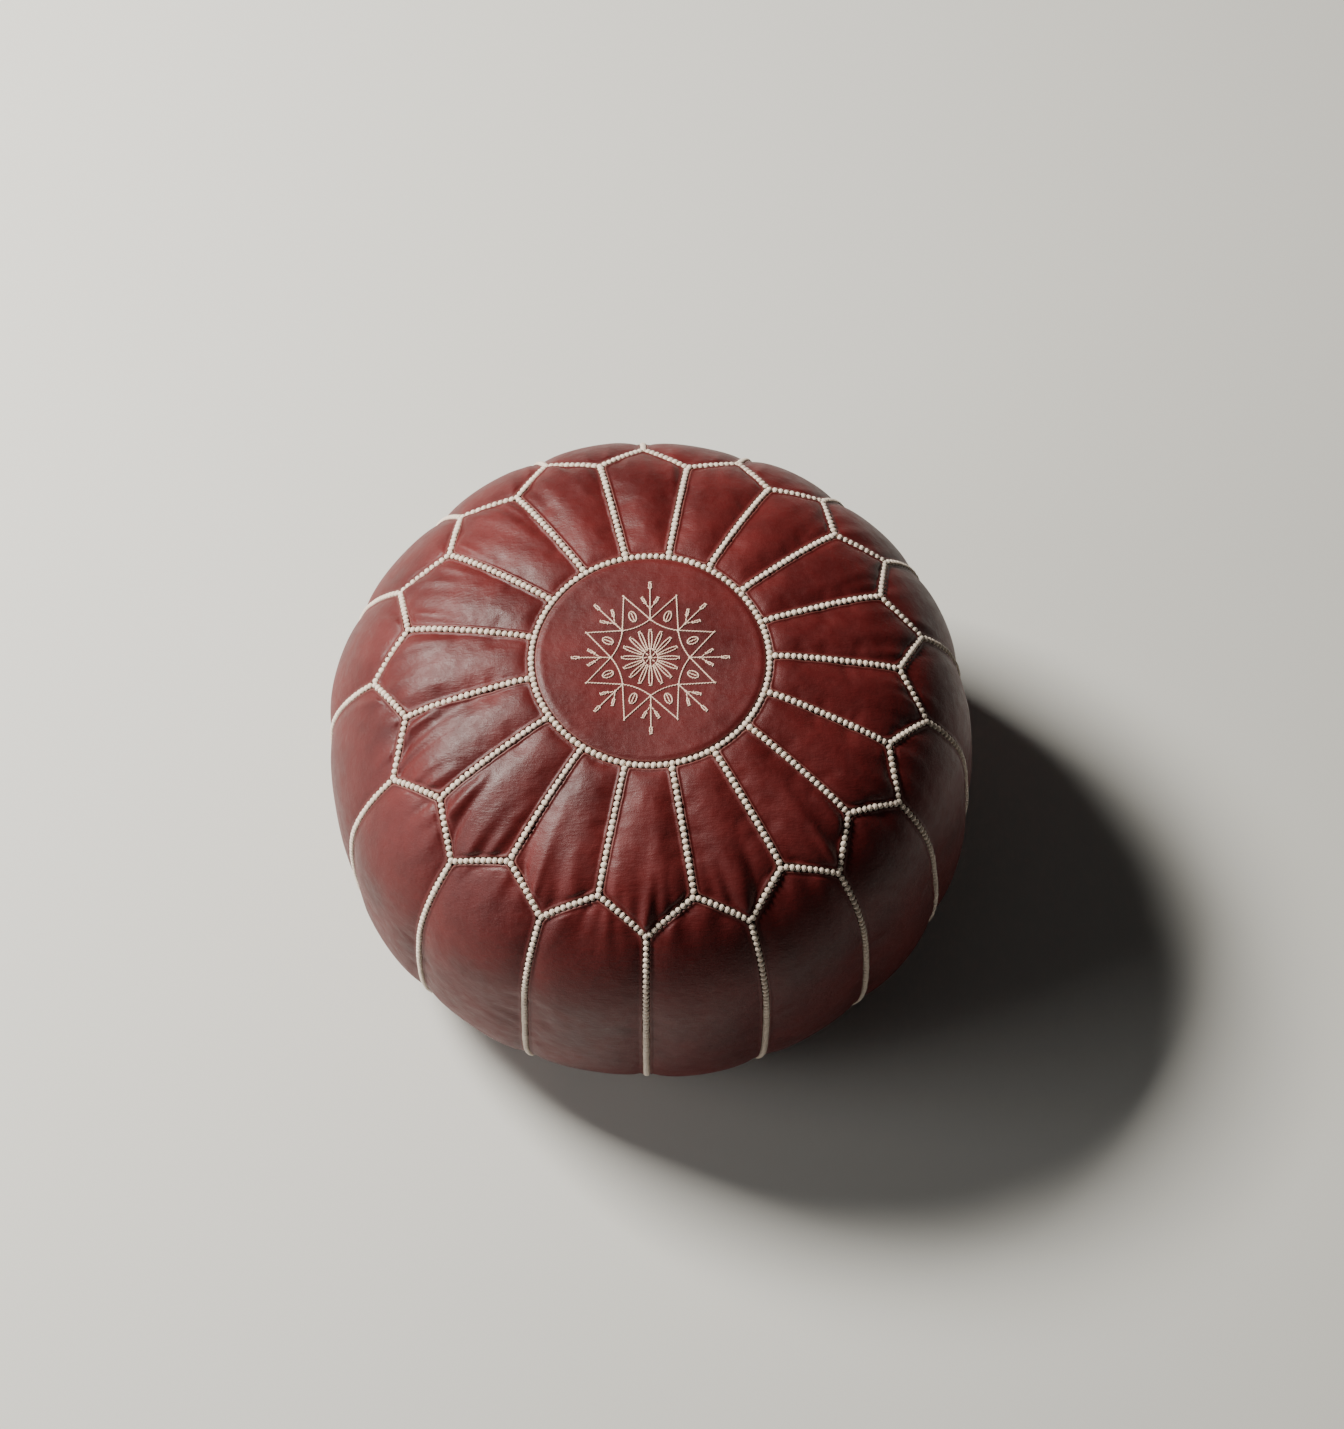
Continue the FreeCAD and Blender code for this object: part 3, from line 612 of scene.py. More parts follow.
# %% Petals and side panels
petal_span, side_span = 0.8, 0.7
petals, sides = [], []
for i in range(panel_count):
    first = i * 2 * half_columns
    across = np.arange(first, first + 2 * half_columns + 1)
    tight = tightness(seam_angle(i + 0.5))
    folds = draw_folds(i + 0.5, petal_folds, petal_span, tight, fold_length)
    petal = leather_panel(f"petal_{i + 1:02d}", slice(0, petal_rows + 1), across, folds)
    petals.append(thicken(petal))
    tight = 0.35 + 0.3 * tightness(seam_angle(i))
    folds = draw_folds(i, side_folds, side_span, tight, 0.5 * fold_length)
    side = leather_panel(f"side_{i + 1:02d}", slice(petal_rows, None), across - half_columns, folds)
    sides.append(thicken(side))
print("petal faces", len(petals[0].data.polygons), "side faces", len(sides[0].data.polygons))

# %% [markdown]
# ## The medallion
# One disc of leather, drawn down into the ring seam all round, so its edge rolls over like
# the rim of a cushion and the middle is a smooth low dome.

# %% Medallion
medallion_columns, medallion_rings, medallion_crowding = 204, 48, 1.6
medallion_rise, medallion_lip = 0.0006, 0.6
roll_reach, roll_height, roll_place, roll_width = 0.0029, 0.0004, 0.0080, 0.0040
rim_drop, slope_drop, slope_reach = 0.0016, 0.0019, 0.022


def medallion_lift(points, s):
    """Height of the medallion over the cover's outline."""
    edge = s_ring - s
    rim = (ring_depth + rim_drop - slope_drop) * np.exp(-edge / roll_reach)
    crest = roll_height * np.exp(-(((edge - roll_place) / roll_width) ** 2))
    slope = slope_drop * np.exp(-edge / slope_reach)
    return lumps(points) + medallion_rise - rim - slope + crest


def make_medallion():
    """Rings of points, closer together towards the seam, closed by a fan at the pole."""
    spread = 1 - (1 - np.linspace(0, 1, medallion_rings)) ** medallion_crowding
    s = (s_ring * spread)[1:, None] + np.zeros(medallion_columns)
    angle = np.broadcast_to(-np.linspace(0, 2 * pi, medallion_columns, endpoint=False), s.shape)
    points, normals = cover_frame(s, angle)
    top = points + normals * (medallion_lift(points, s) + lip(s_ring - s) * medallion_lip)[..., None]
    rim, inward = top[-1], normals[-1] * flange_depth
    shape = np.vstack([top, (rim * (1 - flange_back / medallion_seam) - inward)[None]])
    pole, up = cover_frame(np.zeros(1), np.zeros(1))
    pole = pole + up * medallion_lift(pole, np.zeros(1))[:, None]
    vertices = np.vstack([shape.reshape(-1, 3), pole])
    faces = grid_faces(*shape.shape[:2], True).tolist()
    last = len(vertices) - 1
    faces += [[last, (j + 1) % medallion_columns, j] for j in range(medallion_columns)]
    disc = mesh_object("medallion", vertices, faces)
    distance = np.vstack([s_ring - s, np.zeros((1, medallion_columns))])
    store_edge(disc, np.append(distance.ravel(), s_ring))
    return thicken(disc)


medallion = make_medallion()
print("medallion faces", len(medallion.data.polygons))

# %% [markdown]
# ## Whipped stitches
# A whipped seam is one thick thread that goes over the join again and again. Each pass
# shows as a rounded bead lying across the seam. They repeat along paths, so Geometry Nodes
# make them: the path is cut to even steps, a bead stands on every step, turned to the path
# and to the leather, and each is made a little different in size and slant.

# %% Node tree for stitches
def add_node(tree, kind, sockets=(), **settings):
    """A node with its settings, and with its sockets set or linked by name or number."""
    node = tree.nodes.new(kind)
    for label, value in settings.items():
        setattr(node, label, value)
    for label, value in dict(sockets).items():
        if isinstance(value, bpy.types.NodeSocket):
            tree.links.new(value, node.inputs[label])
        else:
            node.inputs[label].default_value = value
    return node


stitch_sizes = {
    "Pitch": 0.0052, "Along": 0.0054, "Across": 0.0058, "Height": 0.0050, "Slant": 0.0, "Uneven": 0.07,
}
bead_segments, bead_rings = 10, 6


def stitch_tree():
    """Input: edges with an 'up' direction. Output: a bead of thread on every step."""
    tree = bpy.data.node_groups.new("whipped stitches", "GeometryNodeTree")
    face = tree.interface
    face.new_socket("Geometry", in_out="INPUT", socket_type="NodeSocketGeometry")
    for label, number in stitch_sizes.items():
        face.new_socket(label, in_out="INPUT", socket_type="NodeSocketFloat").default_value = number
    face.new_socket("Seed", in_out="INPUT", socket_type="NodeSocketInt")
    face.new_socket("Thread", in_out="INPUT", socket_type="NodeSocketMaterial")
    face.new_socket("Geometry", in_out="OUTPUT", socket_type="NodeSocketGeometry")
    given, made = tree.nodes.new("NodeGroupInput"), tree.nodes.new("NodeGroupOutput")

    def add(kind, sockets=(), **settings):
        return add_node(tree, kind, sockets, **settings)

    def calculate(operation, a, b):
        return add("ShaderNodeMath", {0: a, 1: b}, operation=operation).outputs[0]

    def uneven(middle, extra):
        """A random number for each bead, the unevenness more or less than the middle."""
        seed = calculate("ADD", given.outputs["Seed"], extra)
        value = add("FunctionNodeRandomValue", {2: -1, 3: 1, "Seed": seed}, data_type="FLOAT")
        return calculate("ADD", middle, calculate("MULTIPLY", value.outputs[1], given.outputs["Uneven"]))

    curve = add("GeometryNodeMeshToCurve", {"Mesh": given.outputs["Geometry"]})
    cut = {"Curve": curve.outputs["Curve"], "Length": given.outputs["Pitch"]}
    steps = add("GeometryNodeResampleCurve", cut, mode="LENGTH")

    up = add("GeometryNodeInputNamedAttribute", {"Name": "up"}, data_type="FLOAT_VECTOR")
    tangent = add("GeometryNodeInputTangent")
    axes = {"Primary Axis": up.outputs["Attribute"], "Secondary Axis": tangent.outputs["Tangent"]}
    facing = add("FunctionNodeAxesToRotation", axes, primary_axis="Z", secondary_axis="X")
    slant = add("ShaderNodeCombineXYZ", {"Z": uneven(given.outputs["Slant"], 4)})
    turn = add("FunctionNodeEulerToRotation", {0: slant.outputs[0]})
    turned = {0: facing.outputs[0], 1: turn.outputs[0]}
    turned = add("FunctionNodeRotateRotation", turned, rotation_space="LOCAL")

    size = add("ShaderNodeCombineXYZ")
    for axis, label in enumerate(("Along", "Across", "Height")):
        scale = calculate("MULTIPLY", given.outputs[label], uneven(1.0, axis + 1))
        tree.links.new(scale, size.inputs[axis])

    ball = {"Segments": bead_segments, "Rings": bead_rings, "Radius": 0.5}
    bead = add("GeometryNodeMeshUVSphere", ball)
    marked = {"Name": "UVMap", "Geometry": bead.outputs["Mesh"], "Value": bead.outputs["UV Map"]}
    marked = add("GeometryNodeStoreNamedAttribute", marked, data_type="FLOAT2", domain="CORNER")
    across = add("GeometryNodeTransform", {0: marked.outputs[0], "Rotation": (pi / 2, 0, 0)})

    placed = {
        "Points": steps.outputs["Curve"],
        "Instance": across.outputs[0],
        "Rotation": turned.outputs[0],
        "Scale": size.outputs[0],
    }
    beads = add("GeometryNodeInstanceOnPoints", placed)
    real = add("GeometryNodeRealizeInstances", {0: beads.outputs[0]})
    smooth = add("GeometryNodeSetShadeSmooth", {0: real.outputs[0]})
    thread = {0: smooth.outputs[0], "Material": given.outputs["Thread"]}
    thread = add("GeometryNodeSetMaterial", thread)
    tree.links.new(thread.outputs[0], made.inputs[0])
    return tree


whipped = stitch_tree()
print("the stitch tree has", len(whipped.nodes), "nodes")

# %% [markdown]
# ## Paths to sew along
# A path is a mesh of edges only, which also keeps which way is up at each point. Its
# modifier's inputs are set by the sockets' identifiers, and the evaluated result is turned
# into a plain mesh straight away.

# %% Sewing along paths
def path_object(name, paths):
    """Edges through each path's points, which also keep the direction that is up there."""
    points, ups, edges = [], [], []
    for path, normals, closed in paths:
        first, count = len(points), len(path)
        points += path.tolist()
        ups += normals.tolist()
        edges += [(first + k, first + k + 1) for k in range(count - 1)]
        if closed:
            edges.append((first + count - 1, first))
    mesh = bpy.data.meshes.new(name)
    mesh.from_pydata(points, edges, [])
    attribute = mesh.attributes.new("up", "FLOAT_VECTOR", "POINT")
    attribute.data.foreach_set("vector", np.ravel(ups).astype(np.float32))
    piece = bpy.data.objects.new(name, mesh)
    bpy.context.scene.collection.objects.link(piece)
    return piece


def sew(name, paths, material, seed, **sizes):
    """A piece of stitches along the paths."""
    piece = path_object(name, paths)
    modifier = piece.modifiers.new("stitches", "NODES")
    modifier.node_group = whipped
    inputs = [item for item in whipped.interface.items_tree if item.in_out == "INPUT"]
    identifiers = {item.name: item.identifier for item in inputs}
    for label, value in (sizes | {"Seed": seed, "Thread": material}).items():
        modifier[identifiers[label]] = value
    plain_mesh(piece)
    print(name, "has", len(piece.data.polygons) // (bead_segments * bead_rings), "stitches")
    return piece


bead_lift, end_gap = 0.0019, 0.0048
points_per_panel, petal_points, side_points = 20, 40, 120


def seam_path(s, angle, closed=False):
    """A stitch path along a seam, at the height where the beads' middles lie."""
    points, normals = seam_point(s, angle, bead_lift)
    return points, normals, closed


def seam_paths():
    """Paths for each seam, by the name of its piece."""
    around = np.linspace(0, panel_count, panel_count * points_per_panel, endpoint=False)
    petal_ends = np.array((s_ring + end_gap, float(reach_at(inner_point)) - end_gap))
    side_ends = np.array((float(reach_at(outer_point)) + end_gap, s_base - end_gap))

    def closed_path(s):
        return [seam_path(s + 0 * around, seam_angle(around), True)]

    def panel_paths(ends, count, shift):
        s = np.linspace(*ends, count)
        return [seam_path(s, np.full_like(s, seam_angle(i + shift))) for i in range(panel_count)]

    return {
        "medallion_stitches": closed_path(s_ring),
        "petal_stitches": panel_paths(petal_ends, petal_points, 0),
        "side_stitches": panel_paths(side_ends, side_points, 0.5),
        "zigzag_stitches": closed_path(reach_at(zigzag_radius(around))),
        "base_stitches": closed_path(s_base),
    }


seams = seam_paths()
print(sum(len(paths) for paths in seams.values()), "seams to sew")

# %% [markdown]
# ## The embroidered star
# The medallion carries an eight-pointed star in a finer thread: a flower of narrow loops in
# the middle, crossing lines for the star, an almond in each of its points, and a sprig with
# two leaves between them. Every figure is a path in plan, drawn on the leather's own
# surface and sewn with the same node tree in smaller, slanting stitches.

# %% Figures of the star
star_folds = 8
star_stretch = np.array((0.935, 1.02))
star_node, star_tip, star_bow = 0.0355, 0.0620, 0.0020
flower_inner, flower_outer, flower_leaf = 0.0068, 0.0258, 0.0014
almond_place, almond_long, almond_wide = 0.0412, 0.0050, 0.0030
sprig_fork, bud_start, bud_end, bud_wide = 0.0450, 0.0640, 0.0708, 0.0010
leaf_start, leaf_end, leaf_wide = (0.0500, 0.0038), (0.0560, 0.0074), 0.0008
leaf_taper, flower_taper = 0.3, 0.35


def turn_about(points, degrees):
    c, n = cos(radians(degrees)), sin(radians(degrees))
    return points @ np.array([[c, n], [-n, c]])


def straight(start, end, count=12, bow=0.0):
    """Points from start to end, bowed sideways at the middle."""
    start, end = np.array(start, float), np.array(end, float)
    t = np.linspace(0, 1, count)[:, None]
    along = end - start
    side = np.array((-along[1], along[0])) / np.linalg.norm(along)
    return start + along * t + side * bow * 4 * t * (1 - t)


def leaf(start, end, wide, taper=0.0, count=24):
    """A closed narrow loop between two points, wider towards its end by the taper."""
    q = np.linspace(0, 2 * pi, count, endpoint=False)
    start, end = np.array(start, float), np.array(end, float)
    along = (end - start) / 2
    side = np.array((-along[1], along[0])) / np.linalg.norm(along) * wide
    bulge = np.sin(q) * (1 + taper * np.cos(q))
    return (start + end) / 2 + np.outer(np.cos(q), along) + np.outer(bulge, side)


def star_figures():
    """(points, closed) of every figure, for all eight folds."""
    step = 360 / star_folds
    node = np.array((star_node, 0))
    next_node = turn_about(node, step)
    tip = turn_about(np.array((star_tip, 0)), step / 2)
    almond = [(almond_place - almond_long, 0), (almond_place + almond_long, 0)]
    vein = [(almond_place - 0.6 * almond_long, 0), (almond_place + 0.5 * almond_long, 0)]
    one_fold = [
        (straight(node, tip), False),
        (straight(tip, next_node), False),
        (straight(node, next_node, bow=star_bow), False),
        (straight(node, (bud_start, 0)), False),
        (leaf((bud_start, 0), (bud_end, 0), bud_wide), True),
        (straight((0.0006, 0), (flower_inner + 0.001, 0), 6), False),
        (turn_about(leaf(*almond, almond_wide), step / 2), True),
        (turn_about(straight(*vein, 6), step / 2), False),
    ]
    for mirror in (1, -1):
        flip = np.array((1, mirror))
        one_fold.append((straight((sprig_fork, 0), flip * leaf_start, 8), False))
        one_fold.append((leaf(flip * leaf_start, flip * leaf_end, leaf_wide, leaf_taper), True))
    for half in (0, step / 2):
        shape = leaf((flower_inner, 0), (flower_outer, 0), flower_leaf, flower_taper)
        one_fold.append((turn_about(shape, half), True))
    return [
        (turn_about(points, fold * step) * star_stretch, closed)
        for fold in range(star_folds)
        for points, closed in one_fold
    ]


def on_medallion(plan, lift):
    """Lays plan-view points on the medallion's leather."""
    radius, angle = np.hypot(*plan.T), np.arctan2(plan[:, 1], plan[:, 0])
    s = reach_at(radius)
    points, normals = cover_frame(s, angle)
    return points + normals * (medallion_lift(points, s) + lift)[:, None], normals


star_lift = 0.0003
figures = [(*on_medallion(points, star_lift), closed) for points, closed in star_figures()]
print(len(figures), "figures in the star")

# %% [markdown]
# ## The base
# Two half discs of the same leather meet along a zip. They are flat where they rest, curl up
# to the base seam, and are drawn up into a shallow channel so that the zip never touches the
# floor. Each half is a sheet of straight lines from the zip to the rim, whose height is one
# function of where the point lies.

# %% Base halves
slot_half, slot_end, slot_tip = 0.0065, 0.1392, 0.1424
channel_half, channel_brow, channel_end, channel_height = 0.026, 0.012, 0.146, 0.005
channel_fade = (0.004, 0.012)
base_lines, base_steps, base_crowding, base_line_end = 150, 64, 0.24, 0.03
slot_closed, seam_curl, zip_edge_shade = 0.0003, 0.003, 0.004


def smooth_step(value, low, high):
    t = np.clip((value - low) / (high - low), 0, 1)
    return t * t * (3 - 2 * t)


def base_height(x, y):
    """Height of the base's leather over the floor, on the outside of the leather."""
    radius = np.hypot(x, y)
    foot_s = reach_at(np.maximum(radius, floor_radius + 1e-4), upper=False)
    curl = np.where(radius > floor_radius, np.interp(foot_s, reach, out_height), 0)
    seam = base_depth * np.exp(-((base_seam - radius) / seam_curl))
    rise = smooth_step(-np.abs(y), -channel_half, -channel_brow)
    rise = rise * smooth_step(-np.abs(x), -channel_end - channel_fade[0], -channel_end + channel_fade[1])
    return curl + seam + channel_height * rise


def base_half(name, side):
    """The half of the base on one side of the zip; side is 1 for +Y and -1 for -Y."""
    q = np.linspace(base_line_end, pi - base_line_end, base_lines)
    x = base_seam * np.cos(q)[None, :]
    opening = smooth_step(-np.abs(x), -slot_tip, -slot_end)
    near = slot_closed + (slot_half - slot_closed) * opening
    far = np.sqrt(base_seam**2 - x**2)
    b = np.linspace(0, 1, base_steps)[:, None]
    b = b - base_crowding * np.sin(2 * pi * b) / (2 * pi)
    y = near + (far - near) * b
    x = np.broadcast_to(x, y.shape)
    points = np.stack([x, side * y, base_height(x, y)], -1)
    turned_up = np.stack([np.zeros_like(x), np.zeros_like(x), np.ones_like(x)], -1)
    edge = np.minimum(base_seam - np.hypot(x, y), y - near + zip_edge_shade)
    shape = with_flange(points, -turned_up)
    faces = grid_faces(*shape.shape[:2])
    half = mesh_object(name, shape, faces if side > 0 else faces[:, ::-1])
    store_edge(half, np.pad(np.maximum(edge, 0), 1))
    return thicken(half)


base_back, base_front = base_half("base_back", 1), base_half("base_front", -1)
print("base faces", len(base_back.data.polygons))


zip_row_y, zip_row_lift, zip_row_points = 0.0092, -0.0001, 90
butt_gap, butt_lift, butt_points = 0.005, 0.0008, 20


def base_path(x, y, lift):
    """A stitch path under the base, facing down, at a height from the leather."""
    y = np.full_like(x, y)
    path = np.stack([x, y, base_height(x, y) + lift], -1)
    return path, np.broadcast_to((0.0, 0.0, -1.0), path.shape), False


zip_x = np.linspace(-slot_end, slot_end, zip_row_points)
butt_x = np.linspace(channel_end + butt_gap, base_seam - butt_gap, butt_points)
zip_row_paths = [base_path(zip_x, y, zip_row_lift) for y in (-zip_row_y, zip_row_y)]
butt_paths = [base_path(side * butt_x, 0, butt_lift) for side in (-1, 1)]
print("zip rows", round(2 * slot_end, 3), "m long, butt seams", round(float(np.ptp(butt_x)), 3), "m")

# %% [markdown]
# ## Cotton inside
# Between the leather panels a real pouf would show its cotton bag if a seam gaped, so the
# bag and its filling are there too. Both follow the cover's outline from a centimetre in,
# and both stop above the channel that the zip lies in.

# %% Bag and filling
bag_inset, filling_inset = 0.0115, 0.0135
bag_floor, filling_floor = 0.0125, 0.0140
outline_stride, body_columns, floor_rings = 16, 120, 14
least_radius, floor_first, floor_last = 0.004, 0.98, 0.05


def turned_body(name, inset, floor):
    """A turned solid inside the cover, with a flat bottom above the zip."""
    around = body_columns
    radii = out_radius - inset * np.sin(out_normal)
    heights = out_height - inset * np.cos(out_normal)
    use = (heights > floor) & (radii > least_radius)
    radii, heights = radii[use][::outline_stride], heights[use][::outline_stride]
    radii = np.append(radii, radii[-1] * np.linspace(floor_first, floor_last, floor_rings))
    heights = np.append(heights, np.full(floor_rings, floor))
    angle = -np.linspace(0, 2 * pi, around, endpoint=False)
    ring = np.stack([np.cos(angle), np.sin(angle)], -1)
    plan = radii[:, None, None] * ring
    tall = np.broadcast_to(heights[:, None, None], plan.shape[:2] + (1,))
    shape = np.concatenate([plan, tall], -1)
    vertices = np.vstack([shape.reshape(-1, 3), [[0, 0, heights[0]], [0, 0, floor]]])
    rows = len(radii)
    faces = grid_faces(rows, around, True).tolist()
    start = (rows - 1) * around
    faces += [[rows * around, (j + 1) % around, j] for j in range(around)]
    faces += [[rows * around + 1, start + j, start + (j + 1) % around] for j in range(around)]
    body = mesh_object(name, vertices, faces)
    body.data.shade_smooth()
    return body


bag = turned_body("cotton_bag", bag_inset, bag_floor)
filling = turned_body("cotton_filling", filling_inset, filling_floor)
print("bag faces", len(bag.data.polygons))

# %% [markdown]
# ## Shared finishes
# Grain and weave turn up in several materials, so each is a small group of shader nodes with
# named inputs. A group only hands on values that change over a surface, and every material
# keeps its own shader. Short helpers for the nodes that are used again and again come first.

# %% Helpers for shader nodes
def math_node(tree, operation, *values):
    return add_node(tree, "ShaderNodeMath", dict(enumerate(values)), operation=operation).outputs[0]


def weighted_sum(tree, *terms):
    """The sum of (value, weight) pairs."""
    parts = [math_node(tree, "MULTIPLY", value, weight) for value, weight in terms]
    total = parts[0]
    for part in parts[1:]:
        total = math_node(tree, "ADD", total, part)
    return total


def noise(tree, place, scale, detail=3.0, roughness=0.5):
    sockets = {"Vector": place, "Scale": scale, "Detail": detail, "Roughness": roughness}
    return add_node(tree, "ShaderNodeTexNoise", sockets).outputs


def map_range(tree, value, low, high, to_low=0.0, to_high=1.0):
    ends = {"From Min": low, "From Max": high, "To Min": to_low, "To Max": to_high}
    return add_node(tree, "ShaderNodeMapRange", {"Value": value} | ends).outputs[0]


def mix_colors(tree, factor, *colors):
    """Between two colours; the mix node keeps its colour sockets after those of other types."""
    colors = [(*c, 1) if isinstance(c, tuple) else c for c in colors]
    sockets = {"Factor": factor, 6: colors[0], 7: colors[1]}
    return add_node(tree, "ShaderNodeMix", sockets, data_type="RGBA").outputs[2]


def shaded(color, factor):
    return tuple(c * factor for c in color)


def object_place(tree):
    return tree.nodes.new("ShaderNodeTexCoord").outputs["Object"]


def stretched_place(tree, **sockets):
    return add_node(tree, "ShaderNodeMapping", {"Vector": object_place(tree)} | sockets).outputs[0]


def shader_group(name, inputs, outputs):
    """An empty shader group with float sockets; inputs come with their values."""
    tree = bpy.data.node_groups.new(name, "ShaderNodeTree")
    for label, value in inputs.items():
        socket = tree.interface.new_socket(label, in_out="INPUT", socket_type="NodeSocketFloat")
        socket.default_value = value
    for label in outputs:
        tree.interface.new_socket(label, in_out="OUTPUT", socket_type="NodeSocketFloat")
    return tree, tree.nodes.new("NodeGroupInput"), tree.nodes.new("NodeGroupOutput")


# %% Shader groups
def hide_grain():
    """Leather's grain: pebbles, pores and creases, drawn-out fibres and a broad stretch."""
    inputs = {"Pebbles": 700, "Creases": 26}
    tree, given, made = shader_group("hide grain", inputs, ["Height", "Pores", "Mottle"])
    place = object_place(tree)
    drawn_out = stretched_place(tree, Rotation=(0, 0, 0.25), Scale=(110, 520, 520))
    fibres = noise(tree, drawn_out, 1.0, 3, 0.6)[0]
    stretch = noise(tree, place, 95, 2)[0]
    warp = {0: noise(tree, place, 160, 2)["Color"], 1: (0.0016, 0.0016, 0.0016), 2: place}
    warp = add_node(tree, "ShaderNodeVectorMath", warp, operation="MULTIPLY_ADD")
    cells = {"Vector": warp.outputs[0], "Scale": given.outputs["Pebbles"], "Detail": 3, "Roughness": 0.5}
    pebble = add_node(tree, "ShaderNodeTexVoronoi", cells, feature="DISTANCE_TO_EDGE")
    valley = math_node(tree, "MULTIPLY", pebble.outputs["Distance"], 3.2)
    valley = math_node(tree, "MINIMUM", valley, 1.0)
    pores = noise(tree, place, 2600, 2)[0]
    crease = noise(tree, place, given.outputs["Creases"], 5, 0.6)[0]
    crease = math_node(tree, "ABSOLUTE", math_node(tree, "SUBTRACT", crease, 0.5))
    crease = math_node(tree, "MINIMUM", math_node(tree, "MULTIPLY", crease, 9.0), 1.0)
    terms = (valley, 0.55), (crease, 0.25), (pores, 0.3), (fibres, 1.6), (stretch, 3.2)
    tree.links.new(weighted_sum(tree, *terms), made.inputs["Height"])
    tree.links.new(pores, made.inputs["Pores"])
    tree.links.new(noise(tree, place, 14, 6, 0.62)[0], made.inputs["Mottle"])
    return tree


def plain_weave():
    """Cloth: warp and weft as two sets of ridges that take turns, with uneven yarn."""
    tree, given, made = shader_group("plain weave", {"Threads": 900}, ["Height"])
    place = object_place(tree)
    wobble = math_node(tree, "MULTIPLY", noise(tree, place, 60, 2)[0], 1.5)
    axes = add_node(tree, "ShaderNodeSeparateXYZ", {0: place})
    ridges = []
    for axis in ("X", "Y"):
        count = math_node(tree, "MULTIPLY", axes.outputs[axis], given.outputs["Threads"])
        count = math_node(tree, "MULTIPLY", math_node(tree, "ADD", count, wobble), 2 * pi)
        ridges.append(math_node(tree, "SINE", count))
    crossed = math_node(tree, "MULTIPLY", *ridges)
    tree.links.new(math_node(tree, "MULTIPLY_ADD", crossed, 0.5), made.inputs["Height"])
    return tree


grain_group, weave_group = hide_grain(), plain_weave()
print("grain and weave have", len(grain_group.nodes), "and", len(weave_group.nodes), "nodes")


# %% A new material
def new_material(name, color, roughness, **constants):
    """A material, its tree and its shader, with the shader's constant sockets set."""
    material = bpy.data.materials.new(name)
    material.use_nodes = True
    shader = material.node_tree.nodes["Principled BSDF"]
    shader.inputs["Base Color"].default_value = (*color, 1)
    shader.inputs["Roughness"].default_value = roughness
    for label, value in constants.items():
        shader.inputs[label.replace("_", " ")].default_value = value
    return material, material.node_tree, shader


def bump(tree, shader, height, distance, strength=1.0):
    sockets = {"Height": height, "Distance": distance, "Strength": strength}
    node = add_node(tree, "ShaderNodeBump", sockets)
    tree.links.new(node.outputs["Normal"], shader.inputs["Normal"])


# %% [markdown]
# ## Leather
# Aniline-dyed goat hide: a deep oxblood that drifts a little over each panel, a satin
# surface that is glossier on the crowns of the grain, colour darkened by the seams as dye
# and painted shade, and a paler band on each folded lip as wear and a painted highlight.

# %% Leather material
oxblood, oxblood_dark = (0.130, 0.0130, 0.0125), (0.070, 0.0062, 0.0062)
# Paler colour of the folded lip: partly wear, partly a painted highlight.
oxblood_worn_and_highlit = (0.36, 0.15, 0.12)


def leather_material():
    material, tree, shader = new_material("oxblood_leather", oxblood, 0.46, Specular_IOR_Level=0.36)
    grain = add_node(tree, "ShaderNodeGroup", node_tree=grain_group).outputs
    color = mix_colors(tree, map_range(tree, grain["Mottle"], 0.35, 0.7), oxblood_dark, oxblood)
    near = add_node(tree, "ShaderNodeAttribute", attribute_name="seam_near").outputs["Fac"]
    # Darker by the seams: partly dye, partly painted shade in the seam's valley.
    gathered = map_range(tree, near, 0.30, 0.70, 0.0, 0.8)
    color = mix_colors(tree, gathered, color, shaded(oxblood_dark, 0.35))
    # A narrow paler band on the folded lip: partly wear, partly a painted highlight.
    lip_wear_and_highlight = map_range(tree, near, 0.36, 0.43)
    lip_wear_and_highlight = math_node(tree, "MULTIPLY", lip_wear_and_highlight, map_range(tree, near, 0.44, 0.50, 1.0, 0.0))
    pores = map_range(tree, grain["Pores"], 0.3, 0.7, 0.1, 0.55)
    lip_wear_and_highlight = math_node(tree, "MULTIPLY", lip_wear_and_highlight, pores)
    tree.links.new(mix_colors(tree, lip_wear_and_highlight, color, oxblood_worn_and_highlit), shader.inputs["Base Color"])
    satin = map_range(tree, grain["Height"], 2.0, 3.6, 0.53, 0.41)
    dull = map_range(tree, grain["Mottle"], 0.3, 0.7, -0.04, 0.05)
    tree.links.new(math_node(tree, "ADD", satin, dull), shader.inputs["Roughness"])
    bump(tree, shader, grain["Height"], 0.00020, 0.9)
    return material


leather_dyed = leather_material()
print(leather_dyed.name, "has", len(leather_dyed.node_tree.nodes), "nodes")

# %% [markdown]
# ## Thread
# The cord is cotton, twisted from a few strands that show as fine grooves along each stitch.
# The beads keep the UV map of the sphere they come from, so the grooves can follow it. The
# grooves between the strands are darkened as painted shade, and dirt settles in soft patches.

# %% Thread materials
# The darker colours serve both as painted shade between the strands and as soil.
cream, cream_soil_and_shade = (0.87, 0.74, 0.62), (0.42, 0.30, 0.22)
fine_cream, fine_soil_and_shade = (0.92, 0.67, 0.53), (0.52, 0.31, 0.22)


